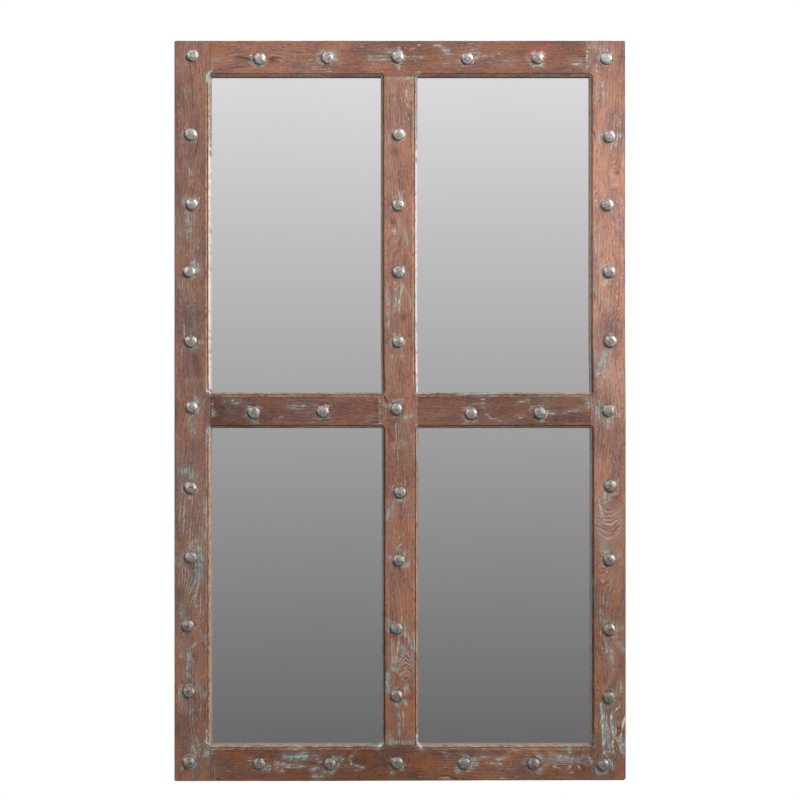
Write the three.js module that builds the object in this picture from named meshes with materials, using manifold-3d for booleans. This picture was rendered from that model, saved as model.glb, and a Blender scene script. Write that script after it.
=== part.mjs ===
// Window frame mirror: a four light wooden window frame, nailed with domed iron studs, over one mirror.
// Millimetres, +Z up. The front faces -Y and the origin is the centre of the back panel's rear face.
import * as THREE from 'three';
import { mergeVertices } from 'three/addons/utils/BufferGeometryUtils.js';
import Module from 'manifold-3d';

const wasm = await Module();
wasm.setup();

// Overall size of the frame and of the timber that it is made from
const overallWidth = 914;
const overallHeight = 1499;
const memberWidth = 72.5;
const frameDepth = 32;
const arrisEase = 1.2;
const outerCornerRadius = 3;

// The grille was set by hand: the mullion a little left of the centre, the mid rails a little above it
const mullionShift = -1.8;
const midRailShift = 1.3;

// What lies in the rebate behind the openings
const mirrorThickness = 4;
const panelThickness = 6;
const rebateWidth = 10;
const rebateClearance = 0.8;

// Clearances and the overrun that every cut shares
const seatGap = 0.3;
const jointGap = 0.3;
const overrun = 2;

// Moulding run round each opening: a quirk, then a bead down to the sight edge
const mouldingWidth = 7;
const mouldingDepth = 9;
const quirkWidth = 2;
const quirkDepth = 3.5;
const beadSink = 2.4;
const mouldingCornerRadius = 10;
const sightCornerRadius = 0.5;
const beadSteps = 4;
const cornerSteps = 4;

// Mortise and tenon joints, as shares of the timber
const tenonThicknessShare = 0.45;
const tenonWidthShare = 0.64;
const cornerTenonLengthShare = 0.68;
const grilleTenonLengthShare = 0.33;

// Domed studs
const studHeadRadius = 13;
const studHeadHeight = 10;
const studRimHeight = 1;
const studShankRadius = 2.5;
const studShankShare = 0.8;
const studTipShare = 0.2;
const studNeckShare = 0.8;
const studSides = 12;
const domeSteps = 4;
const pilotClearance = 0.6;
const pilotSides = 8;

// Ring hangers on the back of the stiles
const hangerHeightShare = 0.25;
const ringWireRadius = 2;
const ringReach = 24;
const ringSideClearance = 4;
const ringQuarterSides = 2;
const ringBowSteps = 12;
const ringSteps = 20;
const strapWidth = 14;
const strapLength = 42;
const strapLeaf = 1.2;
const knuckleClearance = 0.3;
const knuckleHalfSides = 10;
const screwHoleRadius = 2;
const screwHoleSides = 10;
const strapEndHalfSides = 8;
const screwPlaceShares = [0.3, 0.82];

// Wall bumpers low on the back
const bumperRadius = 10;
const bumperHeightShare = 0.43;
const bumperTaperShare = 0.88;
const bumperSides = 16;

// Sizes that follow from those above
const halfWidth = overallWidth / 2;
const halfHeight = overallHeight / 2;
const faceY = -frameDepth;
const mirrorBackY = -(panelThickness + seatGap);
const mirrorFrontY = mirrorBackY - mirrorThickness;
const rebateFloorY = mirrorFrontY - seatGap;
const grilleThickness = rebateFloorY - faceY;
const innerHalfWidth = halfWidth - memberWidth;
const innerHalfHeight = halfHeight - memberWidth;
const halfMember = memberWidth / 2;
const stileX = halfWidth - halfMember;
const stileBackX = stileX + rebateWidth / 2;
const railZ = halfHeight - halfMember;
const tenonY = (faceY + rebateFloorY) / 2;
const tenonThickness = grilleThickness * tenonThicknessShare;
const tenonWidth = memberWidth * tenonWidthShare;
const cornerTenonLength = memberWidth * cornerTenonLengthShare;
const grilleTenonLength = memberWidth * grilleTenonLengthShare;
const shankLength = grilleThickness * studShankShare;

// Sight edges of the lights, from left to right and from bottom to top
const lightSpansX = [
  [-innerHalfWidth, mullionShift - halfMember],
  [mullionShift + halfMember, innerHalfWidth],
];
const lightSpansZ = [
  [-innerHalfHeight, midRailShift - halfMember],
  [midRailShift + halfMember, innerHalfHeight],
];

// Stud places: along a row as a share of the distance between the outer rows' centre lines,
// across it as a share of the timber's width. They wander as hand driven nails do.
const leftStileStudShares = [
  [0.504, 0.017], [0.3925, -0.035], [0.2935, -0.004], [0.1975, -0.066], [0.099, -0.035], [0.0055, -0.004],
  [-0.109, -0.035], [-0.2075, -0.035], [-0.3045, -0.117], [-0.398, -0.086], [-0.498, -0.086],
];
const rightStileStudShares = [
  [0.5, -0.048], [0.3895, 0.035], [0.2925, -0.017], [0.1975, 0.035], [0.099, 0.066], [0.001, 0.014],
  [-0.106, 0.066], [-0.2105, 0.035], [-0.3095, 0.035], [-0.406, 0.024], [-0.501, -0.141],
];
const mullionStudShares = [
  [0.3925, -0.006], [0.2925, -0.027], [0.1975, -0.006], [0.099, -0.027], [0.003, -0.079],
  [-0.115, 0.025], [-0.2115, -0.006], [-0.3085, -0.068], [-0.4035, -0.068],
];
const topRailStudShares = [
  [-0.337, -0.007], [-0.1735, 0.019], [-0.005, 0.045], [0.1615, 0.003], [0.331, 0.019],
];
const bottomRailStudShares = [
  [-0.339, 0.001], [-0.1685, 0.001], [-0.007, 0.028], [0.1535, 0.017], [0.3215, 0.001],
];
const leftMidRailStudShares = [[-0.3515, -0.059], [-0.1855, -0.028]];
const rightMidRailStudShares = [[0.171, -0.085], [0.336, -0.059]];

function finish(colour, roughness, metalness) {
  return new THREE.MeshStandardMaterial({ color: colour, roughness, metalness });
}

const stileWood = () => finish(0x8a6154, 0.62, 0);
const railWood = () => finish(0x7c5548, 0.62, 0);
const forgedIron = () => finish(0x8d8a84, 0.35, 1);
const silvering = () => finish(0xc9cdd0, 0.04, 1);
const plywood = () => finish(0xa98a63, 0.8, 0);
const zincSteel = () => finish(0xb4b3ae, 0.35, 1);
const blackRubber = () => finish(0x1d1d1f, 0.85, 0);

const object = new THREE.Group();

function add(name, geometry, material) {
  const mesh = new THREE.Mesh(geometry, material);
  mesh.name = name;
  object.add(mesh);
  return mesh;
}

function solid(geometry) {
  const bare = geometry.clone();
  bare.deleteAttribute('normal');
  bare.deleteAttribute('uv');
  const merged = mergeVertices(bare);
  return new wasm.Manifold(new wasm.Mesh({
    numProp: 3,
    vertProperties: merged.attributes.position.array,
    triVerts: Uint32Array.from(merged.index.array),
  }));
}

function geometryOf(manifold) {
  const mesh = manifold.getMesh();
  const geometry = new THREE.BufferGeometry();
  geometry.setAttribute('position', new THREE.BufferAttribute(mesh.vertProperties, mesh.numProp));
  geometry.setIndex(new THREE.BufferAttribute(mesh.triVerts, 1));
  geometry.computeVertexNormals();
  return geometry;
}

function block([x0, x1], [y0, y1], [z0, z1]) {
  const geometry = new THREE.BoxGeometry(x1 - x0, y1 - y0, z1 - z0);
  return geometry.translate((x0 + x1) / 2, (y0 + y1) / 2, (z0 + z1) / 2);
}

function about(centre, size) {
  return [centre - size / 2, centre + size / 2];
}

// A ring of points round a rectangle with rounded corners, facing the viewer at a given depth
function rectangleRing(halfX, halfZ, radius, y) {
  const corners = [[1, 1], [-1, 1], [-1, -1], [1, -1]];
  return corners.flatMap(([signX, signZ], index) => {
    const steps = Array.from({ length: cornerSteps + 1 }, (_, step) => step / cornerSteps);
    return steps.map((share) => {
      const angle = (index + share) * Math.PI / 2;
      const x = signX * (halfX - radius) + radius * Math.cos(angle);
      const z = signZ * (halfZ - radius) + radius * Math.sin(angle);
      return [x, y, z];
    });
  });
}

// One turn of the router's profile round an opening, at an outset from its sight edge
function openingRing(halfX, halfZ, outset, depth) {
  const radius = sightCornerRadius
    + (mouldingCornerRadius - sightCornerRadius) * outset / mouldingWidth;
  return rectangleRing(halfX + outset, halfZ + outset, radius, faceY + depth);
}

// A closed solid through rings that all have as many points, front to back
function loft(rings) {
  const count = rings[0].length;
  const indices = [];
  for (let level = 0; level + 1 < rings.length; level += 1) {
    for (let point = 0; point < count; point += 1) {
      const next = (point + 1) % count;
      const near = level * count;
      const far = near + count;
      indices.push(near + point, far + next, near + next);
      indices.push(near + point, far + point, far + next);
    }
  }
  const last = (rings.length - 1) * count;
  for (let point = 1; point + 1 < count; point += 1) {
    indices.push(0, point, point + 1);
    indices.push(last, last + point + 1, last + point);
  }
  const geometry = new THREE.BufferGeometry();
  geometry.setAttribute('position', new THREE.Float32BufferAttribute(rings.flat(2), 3));
  geometry.setIndex(indices);
  return geometry;
}

function mouldingCutter([left, right], [bottom, top]) {
  const ring = (outset, depth) => openingRing((right - left) / 2, (top - bottom) / 2, outset, depth);
  const beadWidth = mouldingWidth - quirkWidth;
  const rings = [
    ring(mouldingWidth, -overrun),
    ring(mouldingWidth, quirkDepth),
    ring(beadWidth, quirkDepth),
  ];
  for (let step = 0; step <= beadSteps; step += 1) {
    const angle = step / beadSteps * Math.PI / 2;
    const outset = beadWidth * (1 - Math.sin(angle));
    const depth = beadSink + (mouldingDepth - beadSink) * (1 - Math.cos(angle));
    rings.push(ring(outset, depth));
  }
  rings.push(ring(0, frameDepth + overrun));
  return loft(rings).translate((left + right) / 2, 0, (bottom + top) / 2);
}

// The whole frame's outline with its eased arrises, which trims the stiles and rails
function outlineRing(inset, y) {
  return rectangleRing(halfWidth - inset, halfHeight - inset, outerCornerRadius, y);
}

const frameOutline = solid(loft([
  outlineRing(arrisEase, faceY),
  outlineRing(0, faceY + arrisEase),
  outlineRing(0, -arrisEase),
  outlineRing(arrisEase, 0),
]));

// Every cut that follows the openings: four mouldings and the rebate behind them
const openingCuts = [];
for (const spanX of lightSpansX) {
  for (const spanZ of lightSpansZ) {
    openingCuts.push(solid(mouldingCutter(spanX, spanZ)));
  }
}
const rebateHalfWidth = innerHalfWidth + rebateWidth;
const rebateHalfHeight = innerHalfHeight + rebateWidth;
openingCuts.push(solid(block(
  [-rebateHalfWidth, rebateHalfWidth],
  [rebateFloorY, overrun],
  [-rebateHalfHeight, rebateHalfHeight],
)));

// Where each stud stands, with the name of its row
const studs = [];

function studRow(name, alongZ, line, shares) {
  shares.forEach(([along, across], index) => {
    const place = alongZ
      ? [line + across * memberWidth, along * railZ * 2]
      : [along * stileX * 2, line + across * memberWidth];
    studs.push({ name: `${name}_${String(index + 1).padStart(2, '0')}`, place });
  });
}

studRow('stud_left', true, -stileX, leftStileStudShares);
studRow('stud_right', true, stileX, rightStileStudShares);
studRow('stud_mullion', true, mullionShift, mullionStudShares);
studRow('stud_top', false, railZ, topRailStudShares);
studRow('stud_bottom', false, -railZ, bottomRailStudShares);
studRow('stud_mid_left', false, midRailShift, leftMidRailStudShares);
studRow('stud_mid_right', false, midRailShift, rightMidRailStudShares);

const pilotCuts = studs.map(({ place: [x, z] }) => {
  const radius = studShankRadius + pilotClearance;
  const depth = shankLength + pilotClearance;
  const hole = new THREE.CylinderGeometry(radius, radius, depth + overrun, pilotSides);
  return solid(hole.translate(x, faceY + (depth - overrun) / 2, z));
});

// A tenon, or with play its mortise, from a shoulder at start to its end
function tongue(alongZ, line, start, end, play) {
  const across = about(line, tenonWidth + 2 * play);
  const depth = about(tenonY, tenonThickness + 2 * play);
  const direction = Math.sign(end - start);
  const along = [start - direction * overrun, end + direction * play].sort((a, b) => a - b);
  return alongZ ? block(across, depth, along) : block(along, depth, across);
}

const cornerReach = innerHalfWidth + cornerTenonLength;
const grilleReachX = innerHalfWidth + grilleTenonLength;
const grilleReachZ = innerHalfHeight + grilleTenonLength;
const grilleRoot = halfMember - grilleTenonLength;
const cornerTongues = [];
for (const signX of [-1, 1]) {
  for (const signZ of [-1, 1]) {
    const line = signZ * railZ;
    cornerTongues.push([false, line, signX * innerHalfWidth, signX * cornerReach]);
  }
}
const midRailEnds = [-1, 1].map((sign) => [
  [false, midRailShift, sign * innerHalfWidth, sign * grilleReachX],
  [false, midRailShift, mullionShift + sign * halfMember, mullionShift + sign * grilleRoot],
]);
const mullionEnds = [-1, 1].map((sign) => [
  true, mullionShift, sign * innerHalfHeight, sign * grilleReachZ,
]);

function cutAll(body, cuts) {
  return cuts.reduce((left, cut) => left.subtract(cut), body);
}

function mortises(tongues) {
  return tongues.map((places) => solid(tongue(...places, jointGap)));
}

function withTenons(body, tongues) {
  return tongues.reduce((whole, places) => whole.add(solid(tongue(...places, 0))), body);
}

function addMember(name, body, material) {
  add(name, geometryOf(cutAll(cutAll(body, openingCuts), pilotCuts)), material);
}

// Stiles run the full height and take the tenons of every rail
for (const [name, sign] of [['left_stile', -1], ['right_stile', 1]]) {
  const across = about(sign * stileX, memberWidth);
  const body = frameOutline.intersect(solid(block(across, [faceY, 0], about(0, overallHeight))));
  addMember(name, cutAll(body, mortises([...cornerTongues, ...midRailEnds.flat()])), stileWood());
}

// Rails lie between the stiles, tenoned into them, and take the mullion's tenons
for (const [name, sign] of [['top_rail', 1], ['bottom_rail', -1]]) {
  const along = about(0, 2 * (innerHalfWidth - jointGap));
  const body = frameOutline.intersect(solid(block(along, [faceY, 0], about(sign * railZ, memberWidth))));
  const tongues = cornerTongues.filter(([, line]) => Math.sign(line) === sign);
  addMember(name, withTenons(cutAll(body, mortises(mullionEnds)), tongues), railWood());
}

// The mullion runs from rail to rail and the two mid rails butt into it
const grilleDepth = [faceY, rebateFloorY];
const mullionSpan = about(0, 2 * (innerHalfHeight - jointGap));
const mullion = solid(block(about(mullionShift, memberWidth), grilleDepth, mullionSpan));
addMember('mullion', withTenons(cutAll(mullion, mortises(midRailEnds.flat())), mullionEnds), stileWood());

for (const [name, sign] of [['left_mid_rail', -1], ['right_mid_rail', 1]]) {
  const span = [mullionShift + sign * (halfMember + jointGap), sign * (innerHalfWidth - jointGap)];
  const height = about(midRailShift, memberWidth);
  const body = solid(block(span.sort((a, b) => a - b), grilleDepth, height));
  addMember(name, withTenons(body, midRailEnds[(sign + 1) / 2]), railWood());
}

// A low dome on a square edged rim, over a tapered shank
function studGeometry() {
  const profile = [
    new THREE.Vector2(0, -shankLength),
    new THREE.Vector2(studShankRadius * studNeckShare, -shankLength * (1 - studTipShare)),
    new THREE.Vector2(studShankRadius, 0),
    new THREE.Vector2(studHeadRadius, 0),
  ];
  for (let step = 0; step <= domeSteps; step += 1) {
    const angle = step / domeSteps * Math.PI / 2;
    const radius = step === domeSteps ? 0 : studHeadRadius * Math.cos(angle);
    const height = studRimHeight + (studHeadHeight - studRimHeight) * Math.sin(angle);
    profile.push(new THREE.Vector2(radius, height));
  }
  return new THREE.LatheGeometry(profile, studSides);
}

for (const { name, place: [x, z] } of studs) {
  const stud = add(name, studGeometry(), forgedIron());
  stud.position.set(x, faceY - seatGap, z);
  stud.rotation.x = Math.PI;
}

// The mirror lies on the rebate's floor and the plywood panel closes the back
const sheetWidth = 2 * (rebateHalfWidth - rebateClearance);
const sheetHeight = 2 * (rebateHalfHeight - rebateClearance);

function sheet(depth) {
  return block(about(0, sheetWidth), depth, about(0, sheetHeight));
}

add('mirror_sheet', sheet([mirrorFrontY, mirrorBackY]), silvering());
add('back_panel', sheet([-panelThickness, 0]), plywood());

// Ring hangers: a folded strap whose knuckle holds the ring's bar, which hangs down over the strap
const knuckleBore = ringWireRadius + knuckleClearance;
const knuckleRadius = knuckleBore + strapLeaf;
const strapThickness = 2 * strapLeaf;
const ringHalfWidth = strapWidth / 2 + ringSideClearance + ringWireRadius;
const bowClear = strapThickness + ringWireRadius + knuckleClearance;
const ringLean = Math.asin((bowClear - knuckleRadius) / ringReach);
const knuckleZ = overallHeight * hangerHeightShare;

function strapGeometry() {
  const section = new THREE.Shape();
  const wrapAngle = Math.asin((strapThickness - knuckleRadius) / knuckleRadius);
  section.moveTo(-strapLength, 0);
  section.lineTo(0, 0);
  section.absarc(0, knuckleRadius, knuckleRadius, -Math.PI / 2, Math.PI - wrapAngle, false);
  section.lineTo(-strapLength, strapThickness);
  const bore = new THREE.Path();
  bore.absarc(0, knuckleRadius, knuckleBore, 0, 2 * Math.PI, true);
  section.holes.push(bore);
  const options = { depth: strapWidth, bevelEnabled: false, curveSegments: knuckleHalfSides };
  const bent = new THREE.ExtrudeGeometry(section, options);
  bent.applyMatrix4(new THREE.Matrix4().makeBasis(
    new THREE.Vector3(0, 0, 1),
    new THREE.Vector3(0, 1, 0),
    new THREE.Vector3(-1, 0, 0),
  ));
  const blank = solid(bent.translate(strapWidth / 2, 0, 0)).intersect(solid(strapOutline()));
  const holes = screwPlaceShares.map((share) => {
    const height = strapThickness + 2 * overrun;
    const hole = new THREE.CylinderGeometry(screwHoleRadius, screwHoleRadius, height, screwHoleSides);
    return solid(hole.translate(0, strapThickness / 2, -strapLength * share));
  });
  return geometryOf(cutAll(blank, holes));
}

// Seen from behind, the strap ends in a half round below its screws
function strapOutline() {
  const radius = strapWidth / 2;
  const top = knuckleRadius + overrun;
  const outline = new THREE.Shape();
  outline.moveTo(radius, top);
  outline.lineTo(-radius, top);
  outline.absarc(0, radius - strapLength, radius, Math.PI, 2 * Math.PI, false);
  const depth = 2 * (knuckleRadius + overrun);
  const options = { depth, bevelEnabled: false, curveSegments: strapEndHalfSides };
  return new THREE.ExtrudeGeometry(outline, options).rotateX(Math.PI / 2).translate(0, depth - overrun, 0);
}

function ringGeometry() {
  const legEnd = -(ringReach - ringHalfWidth);
  const path = new THREE.CurvePath();
  const corner = (x, z) => new THREE.Vector3(x, 0, z);
  path.add(new THREE.LineCurve3(corner(-ringHalfWidth, 0), corner(-ringHalfWidth, legEnd)));
  for (let step = 0; step < ringBowSteps; step += 1) {
    const [from, to] = [step, step + 1].map((count) => Math.PI * (1 + count / ringBowSteps));
    path.add(new THREE.LineCurve3(
      corner(ringHalfWidth * Math.cos(from), legEnd + ringHalfWidth * Math.sin(from)),
      corner(ringHalfWidth * Math.cos(to), legEnd + ringHalfWidth * Math.sin(to)),
    ));
  }
  path.add(new THREE.LineCurve3(corner(ringHalfWidth, legEnd), corner(ringHalfWidth, 0)));
  const round = new THREE.Shape();
  round.absarc(0, 0, ringWireRadius, 0, 2 * Math.PI, false);
  const options = { extrudePath: path, steps: ringSteps, curveSegments: 2 * ringQuarterSides };
  const bow = solid(new THREE.ExtrudeGeometry(round, options));
  const barLength = 2 * (ringHalfWidth + ringWireRadius);
  const barSides = 4 * ringQuarterSides;
  const bar = new THREE.CylinderGeometry(ringWireRadius, ringWireRadius, barLength, barSides);
  return geometryOf(bow.add(solid(bar.rotateZ(Math.PI / 2))));
}

for (const [side, sign] of [['left', -1], ['right', 1]]) {
  const strap = add(`${side}_hanger_strap`, strapGeometry(), zincSteel());
  strap.position.set(sign * stileBackX, seatGap, knuckleZ);
  const ring = add(`${side}_hanger_ring`, ringGeometry(), zincSteel());
  ring.position.set(sign * stileBackX, seatGap + knuckleRadius, knuckleZ);
  ring.rotation.x = ringLean;
}

// Rubber bumpers as thick as the hangers, so the frame hangs parallel to the wall
const bumperThickness = bowClear + ringWireRadius;
const bumperZ = -overallHeight * bumperHeightShare;
for (const [name, sign] of [['left_bumper', -1], ['right_bumper', 1]]) {
  const tip = bumperRadius * bumperTaperShare;
  const pad = new THREE.CylinderGeometry(tip, bumperRadius, bumperThickness, bumperSides);
  const bumper = add(name, pad.translate(0, bumperThickness / 2, 0), blackRubber());
  bumper.position.set(sign * stileBackX, seatGap, bumperZ);
}

export default object;
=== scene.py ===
import math

import bmesh
import bpy
import numpy as np
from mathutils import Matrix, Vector


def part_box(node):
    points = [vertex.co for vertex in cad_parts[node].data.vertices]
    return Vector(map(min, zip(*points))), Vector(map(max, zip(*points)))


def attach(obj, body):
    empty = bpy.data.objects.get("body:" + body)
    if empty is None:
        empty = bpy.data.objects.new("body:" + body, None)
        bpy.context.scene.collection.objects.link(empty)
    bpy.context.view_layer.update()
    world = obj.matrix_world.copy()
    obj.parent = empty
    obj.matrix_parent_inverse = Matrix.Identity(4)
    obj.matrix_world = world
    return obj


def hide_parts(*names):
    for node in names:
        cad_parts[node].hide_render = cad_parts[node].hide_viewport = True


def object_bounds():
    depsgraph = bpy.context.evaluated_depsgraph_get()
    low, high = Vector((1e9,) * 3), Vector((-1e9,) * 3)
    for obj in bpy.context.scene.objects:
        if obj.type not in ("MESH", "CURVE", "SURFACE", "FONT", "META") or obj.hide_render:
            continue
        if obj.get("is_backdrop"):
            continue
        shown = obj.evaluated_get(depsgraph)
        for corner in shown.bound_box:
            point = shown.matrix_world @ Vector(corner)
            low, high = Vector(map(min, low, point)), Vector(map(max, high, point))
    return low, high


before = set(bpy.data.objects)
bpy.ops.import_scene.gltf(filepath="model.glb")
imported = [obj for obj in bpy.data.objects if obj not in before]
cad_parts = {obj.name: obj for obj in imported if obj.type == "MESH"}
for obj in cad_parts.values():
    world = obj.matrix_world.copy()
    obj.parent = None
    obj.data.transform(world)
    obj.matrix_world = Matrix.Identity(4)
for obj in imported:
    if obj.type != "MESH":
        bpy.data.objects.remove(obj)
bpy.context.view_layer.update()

MM = 0.001

# Sizes read from the frame
FACE_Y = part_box("right_stile")[0].y
FRAME_HALF_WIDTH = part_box("right_stile")[1].x
FRAME_HALF_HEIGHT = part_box("right_stile")[1].z
INNER_HALF_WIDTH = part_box("right_stile")[0].x
INNER_HALF_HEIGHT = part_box("top_rail")[0].z
MULLION_LOW, MULLION_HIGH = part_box("mullion")
MID_RAIL_LOW, MID_RAIL_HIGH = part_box("left_mid_rail")
REBATE_FLOOR_Y = MULLION_HIGH.y
PANEL_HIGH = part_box("back_panel")[1]
LIGHTS = [
    (left, right, bottom, top)
    for left, right in ((-INNER_HALF_WIDTH, MULLION_LOW.x), (MULLION_HIGH.x, INNER_HALF_WIDTH))
    for bottom, top in ((-INNER_HALF_HEIGHT, MID_RAIL_LOW.z), (MID_RAIL_HIGH.z, INNER_HALF_HEIGHT))
]

# The moulding round each light as it was cut: outsets from the sight edge and depths under the face, in mm
MOULDING_PROFILE = [
    (0, 9), (0.6, 7.6), (1.5, 6.3), (2.6, 5), (3.7, 3.8), (4.5, 2.9), (5, 2.6), (5.3, 3.4), (5.9, 3.4),
    (6.5, 1.2), (7, 0.4), (7.8, 0.1), (9, 0),
]
MOULDING_WIDTH = 7 * MM
BEAD_WIDTH = 5 * MM
MOULDING_CORNER_RADIUS = 10 * MM
SIGHT_CORNER_RADIUS = 0.5 * MM
REBATE_WIDTH = 10 * MM
REBATE_CLEARANCE = 0.8 * MM
JOINT_GAP = 0.3 * MM
TOUCH = 0.01 * MM
TINY = 1e-9

# The photograph: where its pixels lie on the frame's face
PHOTO_SIZE = 800
PIXEL = 2.024 * MM
FRAME_CENTRE_PIXEL = (400.05, 410.95)


def photo_place(x_pixel, y_pixel):
    """The point (x, z) of the face that a pixel of the photograph shows."""
    return (x_pixel - FRAME_CENTRE_PIXEL[0]) * PIXEL, (FRAME_CENTRE_PIXEL[1] - y_pixel) * PIXEL


def smooth(value, low, high):
    """0 below low, 1 above high, and smooth between."""
    share = np.clip((value - low) / (high - low), 0, 1)
    return share * share * (3 - 2 * share)


# Smooth noise for shapes: a fixed table of random heights for each seed, blended between its points
TABLE_SIZE = 256
TABLES = {}
WANDER_SEED, MOTTLE_SEED = 5, 6


def lattice_noise(u, v, seed):
    """Smooth noise from 0 to 1 at the points (u, v), one bump to a unit."""
    if seed not in TABLES:
        TABLES[seed] = np.random.default_rng(seed).random((TABLE_SIZE, TABLE_SIZE))
    table = TABLES[seed]
    u0, v0 = np.floor(u).astype(int), np.floor(v).astype(int)
    share_u, share_v = smooth(u - u0, 0, 1), smooth(v - v0, 0, 1)
    u0, u1, v0, v1 = u0 % TABLE_SIZE, (u0 + 1) % TABLE_SIZE, v0 % TABLE_SIZE, (v0 + 1) % TABLE_SIZE
    low = table[u0, v0] * (1 - share_u) + table[u1, v0] * share_u
    high = table[u0, v1] * (1 - share_u) + table[u1, v1] * share_u
    return low * (1 - share_v) + high * share_v


# Studs, named and placed as in the frame
STUD_BOXES = {name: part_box(name) for name in sorted(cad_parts) if name.startswith("stud_")}
STUD_PLACES = {
    name: ((low.x + high.x) / 2, (low.z + high.z) / 2) for name, (low, high) in STUD_BOXES.items()
}
STUD_LOW, STUD_HIGH = STUD_BOXES["stud_top_01"]
STUD_RADIUS = (STUD_HIGH.x - STUD_LOW.x) / 2
STUD_TOP_Y = STUD_LOW.y
STUD_SEAT_GAP = 0.3 * MM
STUD_BASE_Y = FACE_Y - STUD_SEAT_GAP


def light_outset(x, z, left, right, bottom, top):
    """How far outside a light's sight edge a point lies, on rings whose corners round with the outset."""
    beside = np.abs(x - (left + right) / 2) - (right - left) / 2
    beyond = np.abs(z - (bottom + top) / 2) - (top - bottom) / 2

    # In a corner the ring's radius grows with the outset, so the outset solves a quadratic equation
    growth = (MOULDING_CORNER_RADIUS - SIGHT_CORNER_RADIUS) / MOULDING_WIDTH
    drift = growth - 1
    corner_x, corner_z = beside + SIGHT_CORNER_RADIUS, beyond + SIGHT_CORNER_RADIUS
    square = 2 * drift**2 - growth**2
    linear = 2 * drift * (corner_x + corner_z) - 2 * SIGHT_CORNER_RADIUS * growth
    constant = corner_x**2 + corner_z**2 - SIGHT_CORNER_RADIUS**2
    root = np.sqrt(np.maximum(linear * linear - 4 * square * constant, 0))
    rounded = (-linear - root) / (2 * square)
    in_corner = (corner_x + drift * rounded > 0) & (corner_z + drift * rounded > 0)
    return np.where(in_corner, rounded, np.maximum(beside, beyond))


def moulding_ring(x, z):
    """The outset from the nearest light's sight edge, and the way that its moulding faces there."""
    outsets = np.array([light_outset(x, z, *light) for light in LIGHTS])
    nearest = np.argmin(outsets, axis=0)
    left, right, bottom, top = np.array(LIGHTS).T[:, nearest]
    faces_x = (x < left + TOUCH).astype(float) - (x > right - TOUCH)
    faces_z = (z < bottom + TOUCH).astype(float) - (z > top - TOUCH)
    return outsets.min(axis=0), faces_x, faces_z


def moulding_drop(outset):
    """How deep the moulding lies under the face at an outset from the sight edge."""
    outsets, depths = zip(*MOULDING_PROFILE)
    return np.interp(outset / MM, outsets, depths) * MM


# Nothing in the frame is quite square: its edges stray to the right below and to the left above, its
# right foot rises, and so does the sight edge under the top rail
STRAY_PLACES = (
    -FRAME_HALF_WIDTH, -INNER_HALF_WIDTH, MULLION_LOW.x, MULLION_HIGH.x, INNER_HALF_WIDTH, FRAME_HALF_WIDTH,
)
LOWER_STRAY = (0 * MM, 0.6 * MM, 0.7 * MM, 1.8 * MM, 0.9 * MM, 0 * MM)
UPPER_STRAY = (0 * MM, -0.4 * MM, -1.4 * MM, -0.3 * MM, -1.4 * MM, -1.2 * MM)
UPPER_STRAY_RISE = (-20 * MM, 160 * MM)
FOOT_LIFT = 1.8 * MM
FOOT_LIFT_RUN = (-280 * MM, 450 * MM)
FOOT_LIFT_HEIGHT = 60 * MM
SIGHT_LIFT = 1.2 * MM
SIGHT_LIFT_REACH = 8 * MM


def lean(x, z):
    """How far the frame's front is out of square at the points (x, z), as (dx, dz)."""
    lower, upper = np.interp(x, STRAY_PLACES, LOWER_STRAY), np.interp(x, STRAY_PLACES, UPPER_STRAY)
    near_foot = np.clip((FOOT_LIFT_HEIGHT - FRAME_HALF_HEIGHT - z) / FOOT_LIFT_HEIGHT, 0, 1)
    stray = lower + (upper - lower) * smooth(z, *UPPER_STRAY_RISE)
    from_top_light = np.abs(z - INNER_HALF_HEIGHT)
    sight_lift = SIGHT_LIFT * np.clip(1 - from_top_light / SIGHT_LIFT_REACH, 0, 1)
    return stray, FOOT_LIFT * smooth(x, *FOOT_LIFT_RUN) * near_foot + sight_lift


# How a stroke wanders: length and width of its bends, and how its row of the noise shifts with its place
WANDER_LENGTH, WANDER_WIDTH, WANDER_CHANGE = 9 * MM, 2.6 * MM, 100
SHORTEST_SEGMENT = 0.1 * MM


def along_segment(x, z, x_from, y_from, x_to, y_to):
    """Distance from a wandering line between two pixels of the photograph, and the share along it."""
    (x0, z0), (x1, z1) = photo_place(x_from, y_from), photo_place(x_to, y_to)
    length = max(math.hypot(x1 - x0, z1 - z0), SHORTEST_SEGMENT)
    share = np.clip(((x - x0) * (x1 - x0) + (z - z0) * (z1 - z0)) / length**2, 0, 1)
    own_row = share * 0 + x0 * WANDER_CHANGE
    wander = (lattice_noise(share * length / WANDER_LENGTH, own_row, WANDER_SEED) - 0.5) * WANDER_WIDTH
    return np.hypot(x - x0 - share * (x1 - x0) + wander, z - z0 - share * (z1 - z0) + wander), share


# Cracks and chips: from (x, y) to (x, y) in pixels of the photograph, and depth in mm
CRACKS = [
    (236, 56.5, 251, 59.4, 2), (268, 58.8, 278, 57, 1.8), (383.5, 396, 387, 402, 2.2),
    (211, 764, 213.5, 780, 1.2), (216, 779, 220, 779, 2.2), (303, 762, 318, 765, 0.7),
    (433, 779.8, 440, 776.2, 1.8), (440, 776.2, 449, 776.4, 1.6), (449, 776.4, 456, 779.8, 2.2),
    (592.5, 129, 597, 141, 1.6), (591, 295, 592, 300, 1.4), (625, 260, 625, 264, 1.2),
]
CRACK_HALF_WIDTH = 1.3 * MM
CRACK_END = 0.15


def crack_depth(x, z):
    """Depth of the cracks and chips at the points (x, z)."""
    depth = np.zeros_like(x)
    for *ends, deepest in CRACKS:
        away, share = along_segment(x, z, *ends)
        taper = np.sqrt(np.clip(np.sin(share * math.pi) + CRACK_END, 0, 1))
        depth = np.maximum(depth, deepest * MM * taper * np.exp(-((away / CRACK_HALF_WIDTH) ** 2)))
    return depth


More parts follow.
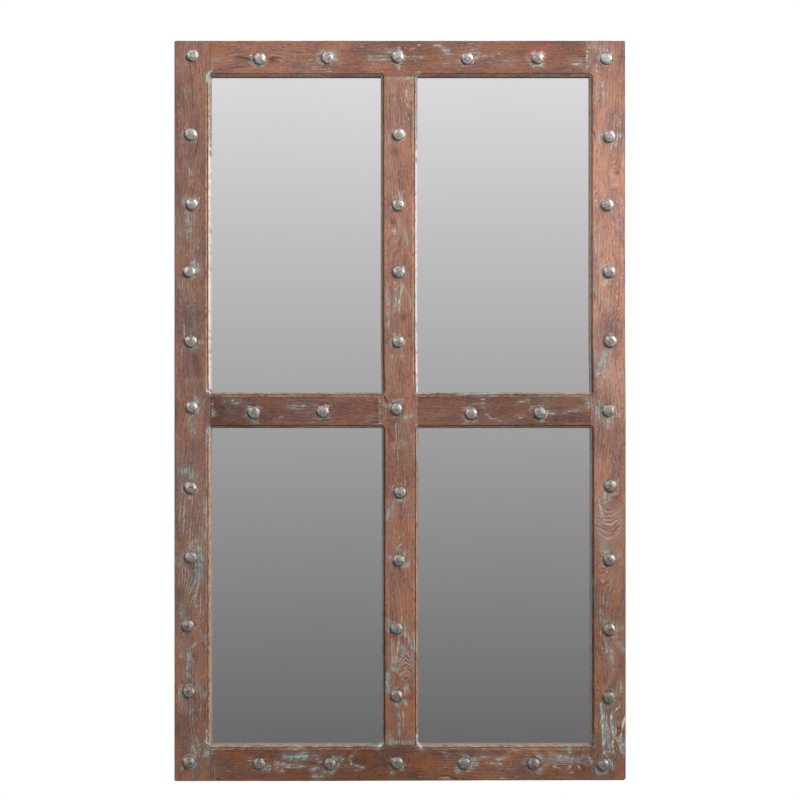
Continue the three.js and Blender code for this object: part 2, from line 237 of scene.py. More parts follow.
# Paint left on the wood, as strokes: from (x, y) to (x, y) and half width in pixels of the photograph,
# strength and turquoise share
PAINT = [
    # Left stile, from the top down
    (212, 68, 210.8, 72, 0.9, 1, 0.3), (210.8, 72, 207.5, 76, 1.1, 2, 0.4),
    (207.5, 76, 206.8, 82, 1, 1.8, 0.4), (210, 77, 210, 81, 1.2, 2, 0.2), (187, 63, 189, 58, 1.4, 0.9, 0.8),
    (184, 89, 186, 99, 1.6, 0.6, 0.4), (197, 80, 203, 82, 1.8, 0.5, 0.3), (186, 131, 186, 137, 1.8, 0.9, 1),
    (189, 142, 193, 142, 1.5, 0.8, 0.2), (189, 167, 193, 186, 2.4, 0.7, 0.3),
    (184, 201, 186, 206, 1.9, 1, 1), (192, 197, 198, 198, 1.5, 0.8, 0.5),
    (187, 211, 190, 231, 2.4, 0.9, 0.4), (193, 213, 196, 232, 2, 0.7, 0.4),
    (180, 230, 189, 238, 2.8, 0.6, 0.6), (197, 243, 198, 257, 1.5, 0.6, 0.4),
    (191, 254, 198, 265, 2.4, 0.7, 0.5), (193, 264, 198, 270, 2, 1.1, 1), (184, 279, 178, 287, 1.5, 1, 0.9),
    (183, 319, 184, 336, 1.4, 0.7, 0.4), (195, 292, 194, 329, 1.2, 0.6, 0.2),
    (209, 239, 209, 260, 1.3, 0.9, 0.6), (184, 337, 186, 346, 1.5, 0.8, 0.9),
    (188, 349, 198, 347, 1.6, 0.9, 0.8), (187, 380, 205, 380, 2.4, 0.6, 0.1),
    (195, 398, 199, 403, 1.7, 1.1, 0.9), (191, 417, 193, 434, 2.2, 0.8, 0.8),
    (212, 405, 213, 415, 1.5, 0.9, 0.2), (211, 429, 211, 436, 1.3, 1, 0.6),
    (210, 457, 210, 465, 1.3, 1, 0.4), (185, 470, 191, 475, 2.1, 1, 1), (190, 478, 195, 479, 1.5, 0.9, 0.8),
    (182, 490, 190, 498, 1.4, 1.2, 0.5), (184, 500, 184, 529, 2.4, 0.7, 0.3),
    (206, 500, 206, 536, 1, 1, 0.2), (198, 521, 202, 530, 2.5, 0.5, 0.2), (191, 543, 188, 553, 2, 1.1, 1),
    (198, 541, 201, 565, 2.6, 0.95, 0.9), (179, 560, 187, 571, 3, 0.8, 0.6),
    (200, 571, 196, 590, 2.4, 0.95, 0.9), (184, 573, 188, 589, 2, 0.7, 0.5),
    (204, 634, 204, 637, 1.3, 0.9, 1), (181, 656, 196, 643, 1.2, 0.9, 0.3),
    (188, 652, 188, 677, 2.2, 1, 0.9), (180, 688, 181, 695, 2, 0.8, 0.8),
    (197, 688, 204, 696, 2.8, 0.7, 0.6), (192, 746, 193, 756, 1.7, 0.9, 0.8),
    (197, 753, 200, 745, 2.6, 0.9, 0.7), (204, 755, 211, 752, 1.9, 1.1, 1),
    (197, 761, 200, 768, 1.6, 0.7, 0.6), (206.4, 729, 206.8, 742, 0.7, 1.5, 0.2),
    (206.8, 742, 210, 747, 0.8, 1.9, 0.2), (210, 747, 217, 748.4, 0.8, 1.5, 0.4),
    (206.3, 381, 206.6, 390, 0.6, 1.3, 0.1), (206.6, 390, 210, 394.6, 0.7, 1.6, 0.1),
    (210, 426, 207, 430, 0.8, 1.6, 0.2), (207, 430, 206.6, 446, 0.7, 1.3, 0.2),
    # Dusty patches of it on the left stile
    (198, 592, 200, 640, 5, 0.5, 0.3), (182, 605, 183, 640, 6, 0.45, 0.3),
    (186, 658, 194, 676, 6, 0.5, 0.6), (185, 500, 186, 528, 6, 0.45, 0.2),
    (203, 498, 204, 545, 3.5, 0.5, 0.3), (199, 545, 196, 588, 5, 0.55, 0.8),
    (180, 560, 190, 585, 6, 0.45, 0.5), (186, 706, 200, 730, 7, 0.35, 0.2),
    (185, 470, 196, 480, 5, 0.5, 0.7), (183, 215, 198, 262, 7, 0.45, 0.2),
    (183, 285, 196, 330, 7, 0.4, 0.3), (190, 740, 204, 752, 6, 0.5, 0.8),
    # Right stile
    (588, 45, 588, 68, 1.2, 0.9, 0.3), (590, 47, 597, 47, 1.2, 0.8, 0.4), (601, 48, 608, 50, 1.8, 0.9, 0.6),
    (598, 64, 598, 104, 1, 0.7, 0.1), (604, 83, 605, 99, 1.5, 1.1, 0.5), (605, 99, 605, 116, 1.2, 0.6, 0.3),
    (618, 116, 621, 127, 1.5, 0.9, 0.9), (601, 131, 601, 143, 1.4, 1, 0.5),
    (614, 133, 617, 138, 1.6, 1, 0.5), (594, 137, 600, 141, 1.8, 0.6, 0.2),
    (591, 149, 591, 155, 1.1, 1, 0.8), (591, 215, 592, 232, 1.1, 0.9, 0.7),
    (597, 201, 598, 206, 1.3, 0.9, 0.2), (599, 225, 600, 266, 1.1, 0.7, 0.2),
    (600, 288, 606, 306, 5, 0.6, 0.3), (597, 348, 606, 376, 6, 0.6, 0.6),
    (615, 292, 618, 297, 1.6, 0.6, 0.3), (605, 350, 612, 351, 1.5, 1, 0.8),
    (605, 351, 598, 376, 1.8, 1, 0.7), (606, 354, 604, 377, 1.4, 1, 0.7), (610, 370, 610, 373, 1.2, 1, 0.6),
    (623, 372, 623, 383, 1.2, 0.7, 0.3), (587, 396, 588, 407, 1.5, 1, 0.7),
    (598, 403, 598, 420, 1.8, 1.1, 1), (607, 420, 608, 427, 1.5, 1, 0.9),
    (605, 493, 605, 502, 1.4, 1.1, 0.5), (609, 495, 609, 500, 1.2, 1, 0.5),
    (599, 500, 601.5, 515, 0.9, 1.3, 0.2), (601.5, 515, 605, 520, 0.9, 1, 0.2),
    (605, 520, 614.5, 514, 0.8, 0.9, 0.1), (614.5, 514, 625, 506, 0.8, 0.6, 0.1),
    (602, 522.5, 611, 525, 0.9, 0.8, 0.1), (611, 525, 616.5, 521, 1, 1.2, 0.3),
    (598.5, 525.5, 607, 534, 0.8, 0.8, 0.1), (607, 534, 615.5, 527.5, 0.8, 0.7, 0.1),
    (615.5, 527.5, 625, 530, 0.8, 0.6, 0.1), (600.5, 539, 605, 551, 0.9, 0.8, 0.1),
    (604, 538, 609, 551, 0.9, 0.8, 0.1), (618, 522, 620, 522, 1.3, 1.1, 0.4),
    (592, 577, 592, 600, 1.1, 1, 0.9), (603, 575, 603, 582, 1.2, 1, 0.9),
    (600, 594, 607, 604, 2.4, 0.45, 0.3), (601, 612, 604, 627, 1.5, 0.9, 0.5),
    (618, 627, 621, 628, 1.3, 0.8, 0.6), (605, 643, 607, 652, 1.5, 0.9, 0.9),
    (611, 650, 613, 664, 1.3, 1.1, 0.3), (619, 643, 623, 650, 1.6, 1, 1),
    (614, 669, 606, 687, 1.2, 0.6, 0.4), (612, 690, 615, 697, 1.4, 0.9, 1),
    (621, 682, 621, 692, 1.2, 0.9, 1), (601, 703, 602.5, 727, 0.8, 1.7, 0.5),
    (602.5, 727, 604, 753, 0.8, 1.7, 0.5), (603, 706, 605, 755, 1.6, 1, 0.9),
    (606, 717, 606.5, 733, 0.7, 1.5, 0.6), (610.5, 714, 613, 735, 0.8, 1.7, 0.4),
    (613, 735, 612.5, 753, 0.8, 1.7, 0.5), (609, 730, 609, 752, 1.5, 0.9, 0.9),
    (625, 715, 621, 735, 0.9, 1.7, 0.6), (621, 735, 622, 752, 1, 1.6, 0.8), (623, 738, 624, 755, 1.2, 1, 1),
    (592, 736, 593, 746, 1.3, 1.1, 0.8), (611, 764, 613, 770, 1.4, 0.9, 0.9),
    (606, 770, 606, 774, 1.2, 0.9, 0.8), (587, 756, 591, 762, 1.7, 1, 1),
    # Mullion
    (389, 78, 413, 78, 1.2, 0.8, 0.6), (415, 79, 419, 73, 1.3, 1.5, 0.5), (382, 93, 382, 100, 1.1, 1, 1),
    (383, 135, 383, 145, 1.1, 1, 1), (393, 84, 396, 104, 1.2, 0.6, 0.3), (408, 83, 408, 105, 1.4, 0.9, 0.3),
    (415, 113, 416, 129, 1.1, 1, 0.7), (388, 136, 389, 142, 1.4, 0.7, 0.2),
    (406, 232, 408, 243, 1.4, 0.9, 0.9), (395, 231, 394, 242, 1.3, 0.7, 0.4),
    (404, 268, 405, 276, 1.4, 0.9, 1), (402.5, 284, 399, 311, 1.1, 1.2, 0.1),
    (389.5, 281, 389, 328, 1.2, 0.9, 0.1), (396.5, 282, 395.5, 312, 1, 1, 0.1),
    (404, 286, 411, 300, 0.8, 1, 0.1), (411, 300, 412, 308, 0.8, 0.8, 0.1),
    (393, 356, 404, 356, 1.5, 0.9, 0.1), (388, 368, 389, 376, 1.7, 0.6, 0.2),
    (392, 401, 399, 402, 1.3, 0.8, 0.3), (405, 417, 412, 416, 1.6, 1, 0.8),
    (402, 441, 406, 449, 1.9, 0.6, 0.6), (416, 455, 417, 465, 1.1, 1, 0.7),
    (398, 499, 401, 500, 1.4, 1, 0.6), (389, 503, 389, 518, 2.4, 0.9, 1), (398, 547, 398, 553, 1.2, 1, 1),
    (389, 620, 390, 627, 1.7, 1, 1), (402, 626, 405, 635, 1.8, 1, 0.9), (392, 640, 392, 662, 1.3, 1, 0.2),
    (403, 646, 403.5, 654, 1.5, 1.1, 1), (392, 668, 396, 670, 1.4, 1.2, 0.6),
    (398, 641, 395, 663, 1, 1.2, 0.1), (408, 637, 411, 648, 0.9, 1.1, 0.2),
    (412, 633, 415, 652, 0.9, 1.1, 0.3), (398, 664, 402, 657.5, 0.8, 0.8, 0.1),
    (402, 657.5, 407, 656, 0.9, 0.8, 0.1), (407, 656, 413, 666, 0.8, 0.5, 0.1),
    (399, 669, 401, 663, 0.9, 0.8, 0.1), (401, 663, 405, 660.5, 0.9, 0.8, 0.1),
    (399.5, 674.5, 405, 671, 1, 1.3, 0.2), (387, 675, 388, 693, 1.6, 1.1, 1),
    (404, 692, 407, 686, 1.7, 1.1, 1), (401, 698, 404, 704, 1.8, 1.1, 1),
    (398.5, 714, 398.5, 736, 0.8, 1.2, 0.1), (403, 712, 402, 731, 0.8, 1.2, 0.1),
    (389, 737, 391, 743, 1.8, 1.1, 1), (394, 742, 411, 743, 1.4, 0.9, 0.8),
    (416, 736, 417, 743, 1.3, 1.8, 0.4), (416, 743, 420, 748, 1.2, 2, 0.4),
    (378, 747, 384, 743, 1.2, 2, 0.3), (391, 767, 391, 773, 1.3, 0.9, 0.8),
    # Top rail, from the left
    (212, 60, 230, 61, 1.5, 0.8, 0.4), (252, 55, 253, 62, 1.3, 1.1, 0.5), (255, 65, 264, 65, 1.2, 1, 0.6),
    (320, 53, 329, 51, 1.8, 0.8, 0.3), (319, 59, 323, 63, 1.4, 1.1, 1), (332, 52, 337, 59, 1.8, 1.1, 0.9),
    (298, 76, 330, 76, 1, 0.7, 0.9), (313, 68, 330, 71, 1.7, 0.5, 0.6), (369, 57, 386, 57, 1.4, 0.7, 0.5),
    (371, 60, 386, 60, 1.2, 0.6, 0.5), (390, 51, 402, 50, 1.7, 0.8, 0.6), (403, 57, 424, 57, 1.2, 0.8, 0.4),
    (406, 52, 419, 46, 1.2, 0.7, 0.3), (434, 46, 441, 45, 1.4, 0.8, 0.3), (440, 47, 448, 51, 1.8, 0.9, 0.6),
    (442, 52, 449, 53, 1.4, 0.7, 0.6), (468, 52, 473, 54, 1.4, 0.8, 0.7), (474, 58, 490, 55, 1.1, 0.9, 0.1),
    (492, 57, 499, 54, 1.3, 0.8, 0.6), (490, 61, 514, 61, 1.2, 0.7, 0.7), (492, 65, 513, 65, 1.2, 0.6, 0.7),
    (529, 59, 532, 63, 1.5, 1, 0.9), (534, 65, 542, 65, 1.4, 1, 0.8), (542, 52, 545, 54, 1.4, 1, 0.2),
    (572, 60, 582, 60, 1.3, 0.7, 0.6), (574, 64, 581, 64, 1.3, 1.1, 0.6),
    # Mid rails
    (212, 403, 212, 414, 1.1, 1, 0.4), (224, 402, 239, 402, 2, 0.8, 0.6),
    (226, 405, 231, 411, 1.8, 0.6, 0.6), (248, 406, 248, 411, 1.4, 0.9, 0.9),
    (248, 414, 255, 422, 1.5, 1.1, 0.9), (288, 406, 302, 407, 2.2, 0.7, 0.7),
    (276, 419, 290, 414, 1.1, 0.7, 0.1), (316, 410, 319, 414, 1.3, 0.9, 0.9),
    (379, 397, 380, 426, 0.8, 0.9, 0), (457, 394, 493, 394, 1.2, 1, 0.8),
    (464, 407, 465, 414, 1.2, 1.1, 0.7), (466, 421, 475, 421, 1.6, 0.9, 0.8),
    (482, 401, 484, 409, 1.6, 0.7, 0.3), (485, 413, 488, 416, 1.5, 1, 0.3),
    (489, 418, 510, 422, 1.5, 0.6, 0.4), (518, 401, 528, 401, 1.1, 0.8, 0.1),
    (515, 419, 522, 417, 1.3, 0.7, 0.6), (547, 413, 555, 413, 1.2, 0.8, 0.3),
    (563, 413, 581, 408, 1.1, 0.7, 0.3),
    # Bottom rail
    (211, 765, 214, 778, 1.3, 0.8, 0.8), (241, 745, 251, 745, 1.1, 1, 0.3), (263, 770, 267, 768, 1.6, 1, 1),
    (274, 764.5, 299, 768, 0.8, 1.1, 0.1), (274, 762, 304, 767, 0.8, 1.2, 0.1),
    (276, 768, 282, 771, 1.8, 0.8, 0.8), (284, 757, 294, 758, 2, 0.95, 1),
    (296, 758, 304, 756, 2.6, 1.1, 1), (291, 749, 303, 748, 1.2, 1, 0.4), (311, 770, 318, 768, 1.4, 1, 0.8),
    (313, 777, 322, 777, 1.5, 0.9, 0.8), (322, 774, 330, 771, 2.2, 0.7, 0.6),
    (313, 756, 320, 761, 2, 0.6, 0.8), (334, 755, 341, 759, 1.8, 0.7, 0.8),
    (331, 773, 338, 764, 1.7, 1, 0.9), (355, 754, 349, 757.5, 0.8, 0.8, 0),
    (349, 757.5, 351, 763, 0.8, 1.2, 0), (351, 763, 363, 768, 0.8, 1.3, 0),
    (360, 745, 371, 745, 1.1, 1, 0.8), (392, 757, 394, 762, 1.7, 0.7, 0.6),
    (418, 745, 430, 745, 1.1, 1, 0.7), (442, 749, 446, 757, 1.2, 0.8, 0.2),
    (462, 754, 465, 757, 1.5, 1, 0.8), (468, 770, 473, 767, 1.4, 0.9, 0.8),
    (476, 758, 490, 757, 1.3, 0.9, 0.3), (486, 763, 501, 765, 0.9, 1.1, 0.3),
    (480, 744, 502, 744, 1.1, 1, 0.8), (495, 760, 507, 757, 1.5, 1, 1), (508, 750, 519, 751, 1.3, 1, 0.8),
    (537, 755, 541, 759, 2, 1.1, 1), (532, 770, 539, 771, 1.9, 1.1, 1), (550, 754, 560, 757, 1.5, 1, 0.9),
    (557, 757, 572, 759, 1.6, 1.1, 1), (550, 759, 572, 762, 1.1, 0.8, 0.1),
    (568, 749, 569, 752, 1.4, 1.1, 1), (578, 759, 578, 762, 1.2, 1, 1), (571, 762, 571, 773, 1.2, 0.8, 0.8),
    (582, 757, 591, 758, 1.5, 0.7, 0.6),
]

# Red paint, dark stains with one painted shadow among them, and worn spots: the same without the last value
RED = [
    (254, 51, 257, 53, 1.5, 1), (323, 55, 324, 57, 1.3, 0.7), (460, 54, 464, 52, 1.6, 0.9),
    (529, 56, 533, 50, 2.2, 1.2), (533, 50, 541, 48, 2.2, 1.1), (538, 48, 553, 46, 2, 1.1),
    (543, 57, 547, 56, 2.3, 1.2), (252, 402, 260, 403, 1.6, 0.7), (263, 409, 264, 413, 1.3, 0.8),
    (331, 407, 333, 412, 1.6, 1), (398, 616, 404, 616, 1.5, 0.8), (403, 695, 411, 694, 1.6, 1.2),
    (403, 690, 403, 697, 1.6, 1), (609, 531, 612, 531, 1.6, 0.85), (603, 537, 605, 537, 1.6, 0.85),
]
# Among the dark marks, the one from (390, 764) to (392, 768) is a painted shadow beside a stud
STAINS_AND_SHADOW = [
    (618, 162, 618, 173, 2.2, 0.5), (197, 357, 197, 375, 3, 0.4), (411, 775, 416, 776, 2, 0.5),
    (431, 754, 440, 754, 1.6, 0.5), (353, 761, 364, 762, 2.2, 0.5), (390, 764, 392, 768, 2, 0.5),
    (397, 150, 397, 152, 2, 0.6), (404, 316, 404, 318, 2, 0.6), (270, 61, 277, 59, 2, 0.5),
    (376, 400, 377, 422, 2, 0.4), (445, 750, 470, 753, 1.6, 0.3),
]
WORN = [
    (439, 778.5, 447, 778.5, 1.4, 0.8), (412, 590, 412, 594, 2, 0.35), (592, 134, 593, 138, 1.3, 0.6),
]
STROKE_MARGIN = 20 * MM
STROKE_CORE, STROKE_FALL = 1.25, 0.6
MOTTLE_SIZE, MOTTLE_LEAST, MOTTLE_RANGE = 5 * MM, 0.5, 0.9


def apart(values, first, second):
    """Whether both ends of a stroke lie well outside the range of values, on the same side."""
    low, high = values.min() - STROKE_MARGIN, values.max() + STROKE_MARGIN
    return max(first, second) < low or min(first, second) > high


def painted(x, z, strokes, spread=1):
    """How strong the strongest stroke is at each point, and that stroke's turquoise share."""
    strength, turquoise = np.zeros_like(x), np.zeros_like(x)
    for x_from, y_from, x_to, y_to, half_width, most, *tint in strokes:
        (x0, z0), (x1, z1) = photo_place(x_from, y_from), photo_place(x_to, y_to)
        if apart(x, x0, x1) or apart(z, z0, z1):
            continue
        reach = along_segment(x, z, x_from, y_from, x_to, y_to)[0] / (half_width * PIXEL * spread)
        here = most * np.clip(STROKE_CORE - reach * STROKE_FALL, 0, 1)
        if tint:
            turquoise = np.where(here > strength, tint[0], turquoise)
        strength = np.maximum(strength, here)
    mottle = lattice_noise(x / MOTTLE_SIZE, z / MOTTLE_SIZE, MOTTLE_SEED)
    return strength * (MOTTLE_LEAST + MOTTLE_RANGE * mottle), turquoise


HALO_REACH, HALO_LIMIT = 12 * MM, 1.6
HALO_EDGE = 4 * MM
HALO_STRENGTHS, HALO_MIDDLE, HALO_LOW_GAIN, HALO_SHIFT = (0.6, 1.1), 0.85, 0.15, 200
HALO_LEAST, HALO_RANGE, HALO_LOBES = 0.1, 1.9, 1.7
# The stud's painted shadow on the wood, low on its left: how far it reaches, its core and its way
STUD_SHADOW_REACH, STUD_SHADOW_CORE, STUD_SHADOW_WAY = 4.5 * MM, 0.5 * MM, (-0.75, -0.65)


def stud_marks(x, z, seed):
    """Distance from the nearest stud, the lobed halo of paint that its hammering left, and its painted
    shadow.
    """
    nearest, halo, stud_shade = np.full_like(x, 1.0), np.zeros_like(x), np.zeros_like(x)
    draw = np.random.default_rng(seed)
    for stud_x, stud_z in STUD_PLACES.values():
        shift, most = draw.uniform(0, HALO_SHIFT), draw.uniform(*HALO_STRENGTHS)
        away = np.hypot(x - stud_x, z - stud_z)
        nearest = np.minimum(nearest, away)
        near = away < STUD_RADIUS + HALO_LIMIT * HALO_REACH
        cos, sin = (x[near] - stud_x) / (away[near] + TINY), (z[near] - stud_z) / (away[near] + TINY)
        lobe = lattice_noise(HALO_LOBES * cos + shift, HALO_LOBES * sin + shift, seed + 1)
        reach = STUD_RADIUS + HALO_REACH * (HALO_LEAST + HALO_RANGE * lobe**3)
        strength = most * (HALO_MIDDLE - HALO_LOW_GAIN * sin)
        here = strength * np.clip((reach - away[near]) / HALO_EDGE, 0, 1)
        halo[near] = np.maximum(halo[near], here)
        # Painted shadow of the stud on the wood, low on its left
        low_left = np.clip(STUD_SHADOW_WAY[0] * cos + STUD_SHADOW_WAY[1] * sin, 0, 1)
        stud_shade[near] += low_left * smooth(-away[near], -STUD_RADIUS - STUD_SHADOW_REACH, -STUD_RADIUS - STUD_SHADOW_CORE)
    return nearest, halo, stud_shade


# Figures of the grain: centre in pixels of the photograph, strength, reach along the member past its
# centre and before it, and reach across, in mm, and how plainly its lines show
SWIRLS = [
    (401, 678, 20, 40, 60, 13, 0.5), (609, 500, 24, 70, 50, 17, 0.4), (609, 556, -26, 46, 60, 13, 0.8),
    (352, 764, 26, 30, 30, 12, 0.3), (611, 178, 18, 60, 60, 12, 0.3), (398, 232, -16, 60, 60, 12, 0.4),
    (300, 62, 12, 50, 50, 12, 0.3), (190, 610, 14, 50, 50, 12, 0.4), (397, 560, 14, 50, 50, 12, 0.4),
    (560, 764, -20, 60, 50, 12, 0.8), (615, 735, 22, 90, 30, 14, 0.9), (606, 660, -12, 70, 60, 12, 0.4),
    (404, 90, 20, 50, 40, 12, 0.5), (396, 420, -18, 40, 70, 12, 0.7),
]

# Nested arches of the grain: centre in pixels of the photograph, curve (how far they rise towards the
# edges, in m at 1 m across), spacing, and reach along and across in mm
ARCHES = [(405, 667, 70, 8, 34, 22), (608, 524, -26, 9, 46, 40)]
ARCH_EDGE = (0.25, 0.62)
ARCH_SHOWN = 0.75
RING_SPACING = 6.4 * MM

# Bends of the lines: size of a bend along and across, and how far it takes them
SLOW_BEND = (150 * MM, 70 * MM, 22 * MM)
QUICK_BEND = (42 * MM, 24 * MM, 5 * MM)
FIGURE_BEND = (15 * MM, 9 * MM, 7 * MM)


def bend(u, v, shape, seed):
    """How far the grain's lines wander to one side or the other."""
    along, across, most = shape
    return (lattice_noise(u / along, v / across, seed) - 0.5) * most


def nearness(along, across, reach_along, reach_across):
    """1 in the middle of a figure, and falling off around it."""
    return np.exp(-((along / reach_along) ** 2) - (across / reach_across) ** 2)


def ring_count(u, v, x, z, upright, seed):
    """The growth ring at each point, in lines bent round knots and arches, and how plainly it shows."""
    field = v + bend(u, v, SLOW_BEND, seed) + bend(u, v, QUICK_BEND, seed + 1)
    plain = np.zeros_like(field)
    for x_pixel, y_pixel, strength, reach_past, reach_before, reach_across, shown in SWIRLS:
        swirl_x, swirl_z = photo_place(x_pixel, y_pixel)
        along, across = (z - swirl_z, x - swirl_x) if upright else (x - swirl_x, z - swirl_z)
        reach_along = np.where(along > 0, reach_past, reach_before) * MM
        near = nearness(along, across, reach_along, reach_across * MM)
        field = field + strength * MM * near
        plain = np.maximum(plain, shown * np.clip(2.2 * near, 0, 1))
    for x_pixel, y_pixel, curve, spacing, reach_along, reach_across in ARCHES:
        arch_x, arch_z = photo_place(x_pixel, y_pixel)
        along, across = z - arch_z, x - arch_x
        near = upright * smooth(nearness(along, across, reach_along * MM, reach_across * MM), *ARCH_EDGE)
        arches = (along + curve * across**2) * RING_SPACING / (spacing * MM)
        field = field + (arches - field) * near
        plain = np.maximum(plain, ARCH_SHOWN * near)
    return (field + plain * bend(u, v, FIGURE_BEND, seed + 2)) / RING_SPACING, plain


# Grid lines of a member's front: close to one another where the moulding, edges and corners are
OUTER_OFFSETS = [0, 0.3 * MM, 0.8 * MM, 1.6 * MM, 2.8 * MM, 4.4 * MM]
SIGHT_OFFSETS = [outset * MM for outset, _ in MOULDING_PROFILE] + [10.5 * MM]
CORNER_STEPS, CORNER_STEP = 11, 0.9 * MM
CORNER_OFFSETS = [CORNER_STEP * count for count in range(-CORNER_STEPS, CORNER_STEPS + 1)]
STEP_OFFSETS = [-0.1 * MM, 0.1 * MM]
GRID_ACROSS = 1.9 * MM
GRID_ALONG = 4 * MM
GRID_LEAST = 0.05 * MM
GRID_MARGIN = 0.6


def member_lines(low, high, spacing, fine_edges):
    """Grid lines from low to high, with the listed offsets from each listed place instead near it."""
    lines = list(np.linspace(low, high, max(2, int(round((high - low) / spacing)) + 1)))
    margin = spacing * GRID_MARGIN
    for place, offsets in fine_edges:
        start, end = min(offsets) + place - margin, max(offsets) + place + margin
        lines = [line for line in lines if not start < line < end]
        lines += [place + offset for offset in offsets]
    kept = sorted(line for line in lines if low - TINY <= line <= high + TINY)
    spaced = [line for before, line in zip(kept, kept[1:]) if line - before > GRID_LEAST]
    return np.array([kept[0]] + spaced)


def front_grid(upright, across, along, outer_low, outer_high):
    """Places of the grid's lines along and across a member."""
    fine_across = []
    for place, outer, sign in ((across[0], outer_low, 1), (across[1], outer_high, -1)):
        offsets = OUTER_OFFSETS if outer else SIGHT_OFFSETS
        fine_across.append((place, sorted(sign * offset for offset in offsets)))
    crossing = (MID_RAIL_LOW.z, MID_RAIL_HIGH.z) if upright else (MULLION_LOW.x, MULLION_HIGH.x)
    inner = INNER_HALF_HEIGHT if upright else INNER_HALF_WIDTH
    fine_along = [(line, CORNER_OFFSETS) for line in (-inner, inner, *crossing) if along[0] < line < along[1]]
    rebate_end = PANEL_HIGH.z + REBATE_CLEARANCE
    if upright and along[1] > rebate_end:
        fine_along += [(-rebate_end, STEP_OFFSETS), (rebate_end, STEP_OFFSETS)]
    fine_along += [(along[0], OUTER_OFFSETS), (along[1], sorted(-offset for offset in OUTER_OFFSETS))]
    return member_lines(*along, GRID_ALONG, fine_along), member_lines(*across, GRID_ACROSS, fine_across)


# The bead's wear with painted highlight, veil of old paint, and painted shade, where it faces right, left,
# up and down: painted highlight mostly where it faces right and up, painted shade where it faces left and
# down; and on the left stile, where it is palest, with painted highlight that fades downwards
BEADS = ((0.6, 0.35, 0.0), (0.1, 0.7, 0.2), (0.8, 0.5, 0.0), (0.05, 1.0, 0.1))
LEFT_STILE_BEAD, LEFT_STILE_BEAD_FADE = (1.4, 0.3, 0.0), 0.35
BEAD_END = BEAD_WIDTH - 0.6 * MM
GROOVE_OUTSET, GROOVE_CORE, GROOVE_REACH = 5.3 * MM, 0.6 * MM, 1.3 * MM
LEDGE_OUTSET, LEDGE_REACH = 6.2 * MM, 0.7 * MM
ARRIS_OUTSET, ARRIS_REACH = 7.4 * MM, 0.9 * MM
SHADE_START, SHADE_END = (2.6 * MM, 3.6 * MM), (8.8 * MM, 7.6 * MM)
LIP_REACH, LEFT_LIP_REACH, RIGHT_STILE_LIP_REACH = 1.6 * MM, 3.4 * MM, 1.8 * MM
GLEAM_END = (4.4 * MM, 2.8 * MM)
EDGE_DARK_REACH = 1.2 * MM
CRACK_DARK_DEPTH = 1 * MM
BROKEN_SIZE, THREADS_SIZE = 7 * MM, 48 * MM
VEIL_SPREAD = 2.2

# Heights between which the light and the wear change: the upper half, the lower one, and where the
# mouldings that face right catch the light
UPPER_HALF, LOWER_HALF = (0, 0.35), (0.2, -0.7)
GLEAM_RISE, GLEAM_FALL = (-0.25, 0.1), (0.48, 0.62)


def bump_at(outset, middle, reach):
    """1 at an outset from the sight edge, and falling off to both sides of it."""
    return np.exp(-(((outset - middle) / reach) ** 2))


def bead_marks(outset, faces, on_left_stile, lower, broken):
    """Wear and painted highlight, veil of paint, and painted shade of the moulding's bead, by the way it
    faces.
    """
    bead = np.zeros((3,) + outset.shape)
    for facing, amounts in zip(faces, BEADS):
        bead = np.where(facing, np.array(amounts)[:, None, None], bead)
    pale = np.array(LEFT_STILE_BEAD)[:, None, None] * (1 - LEFT_STILE_BEAD_FADE * lower)
    bead = np.where(on_left_stile & (outset < MOULDING_WIDTH), pale, bead)
    return bead * (outset < BEAD_END) * (0.75 + 0.5 * broken)


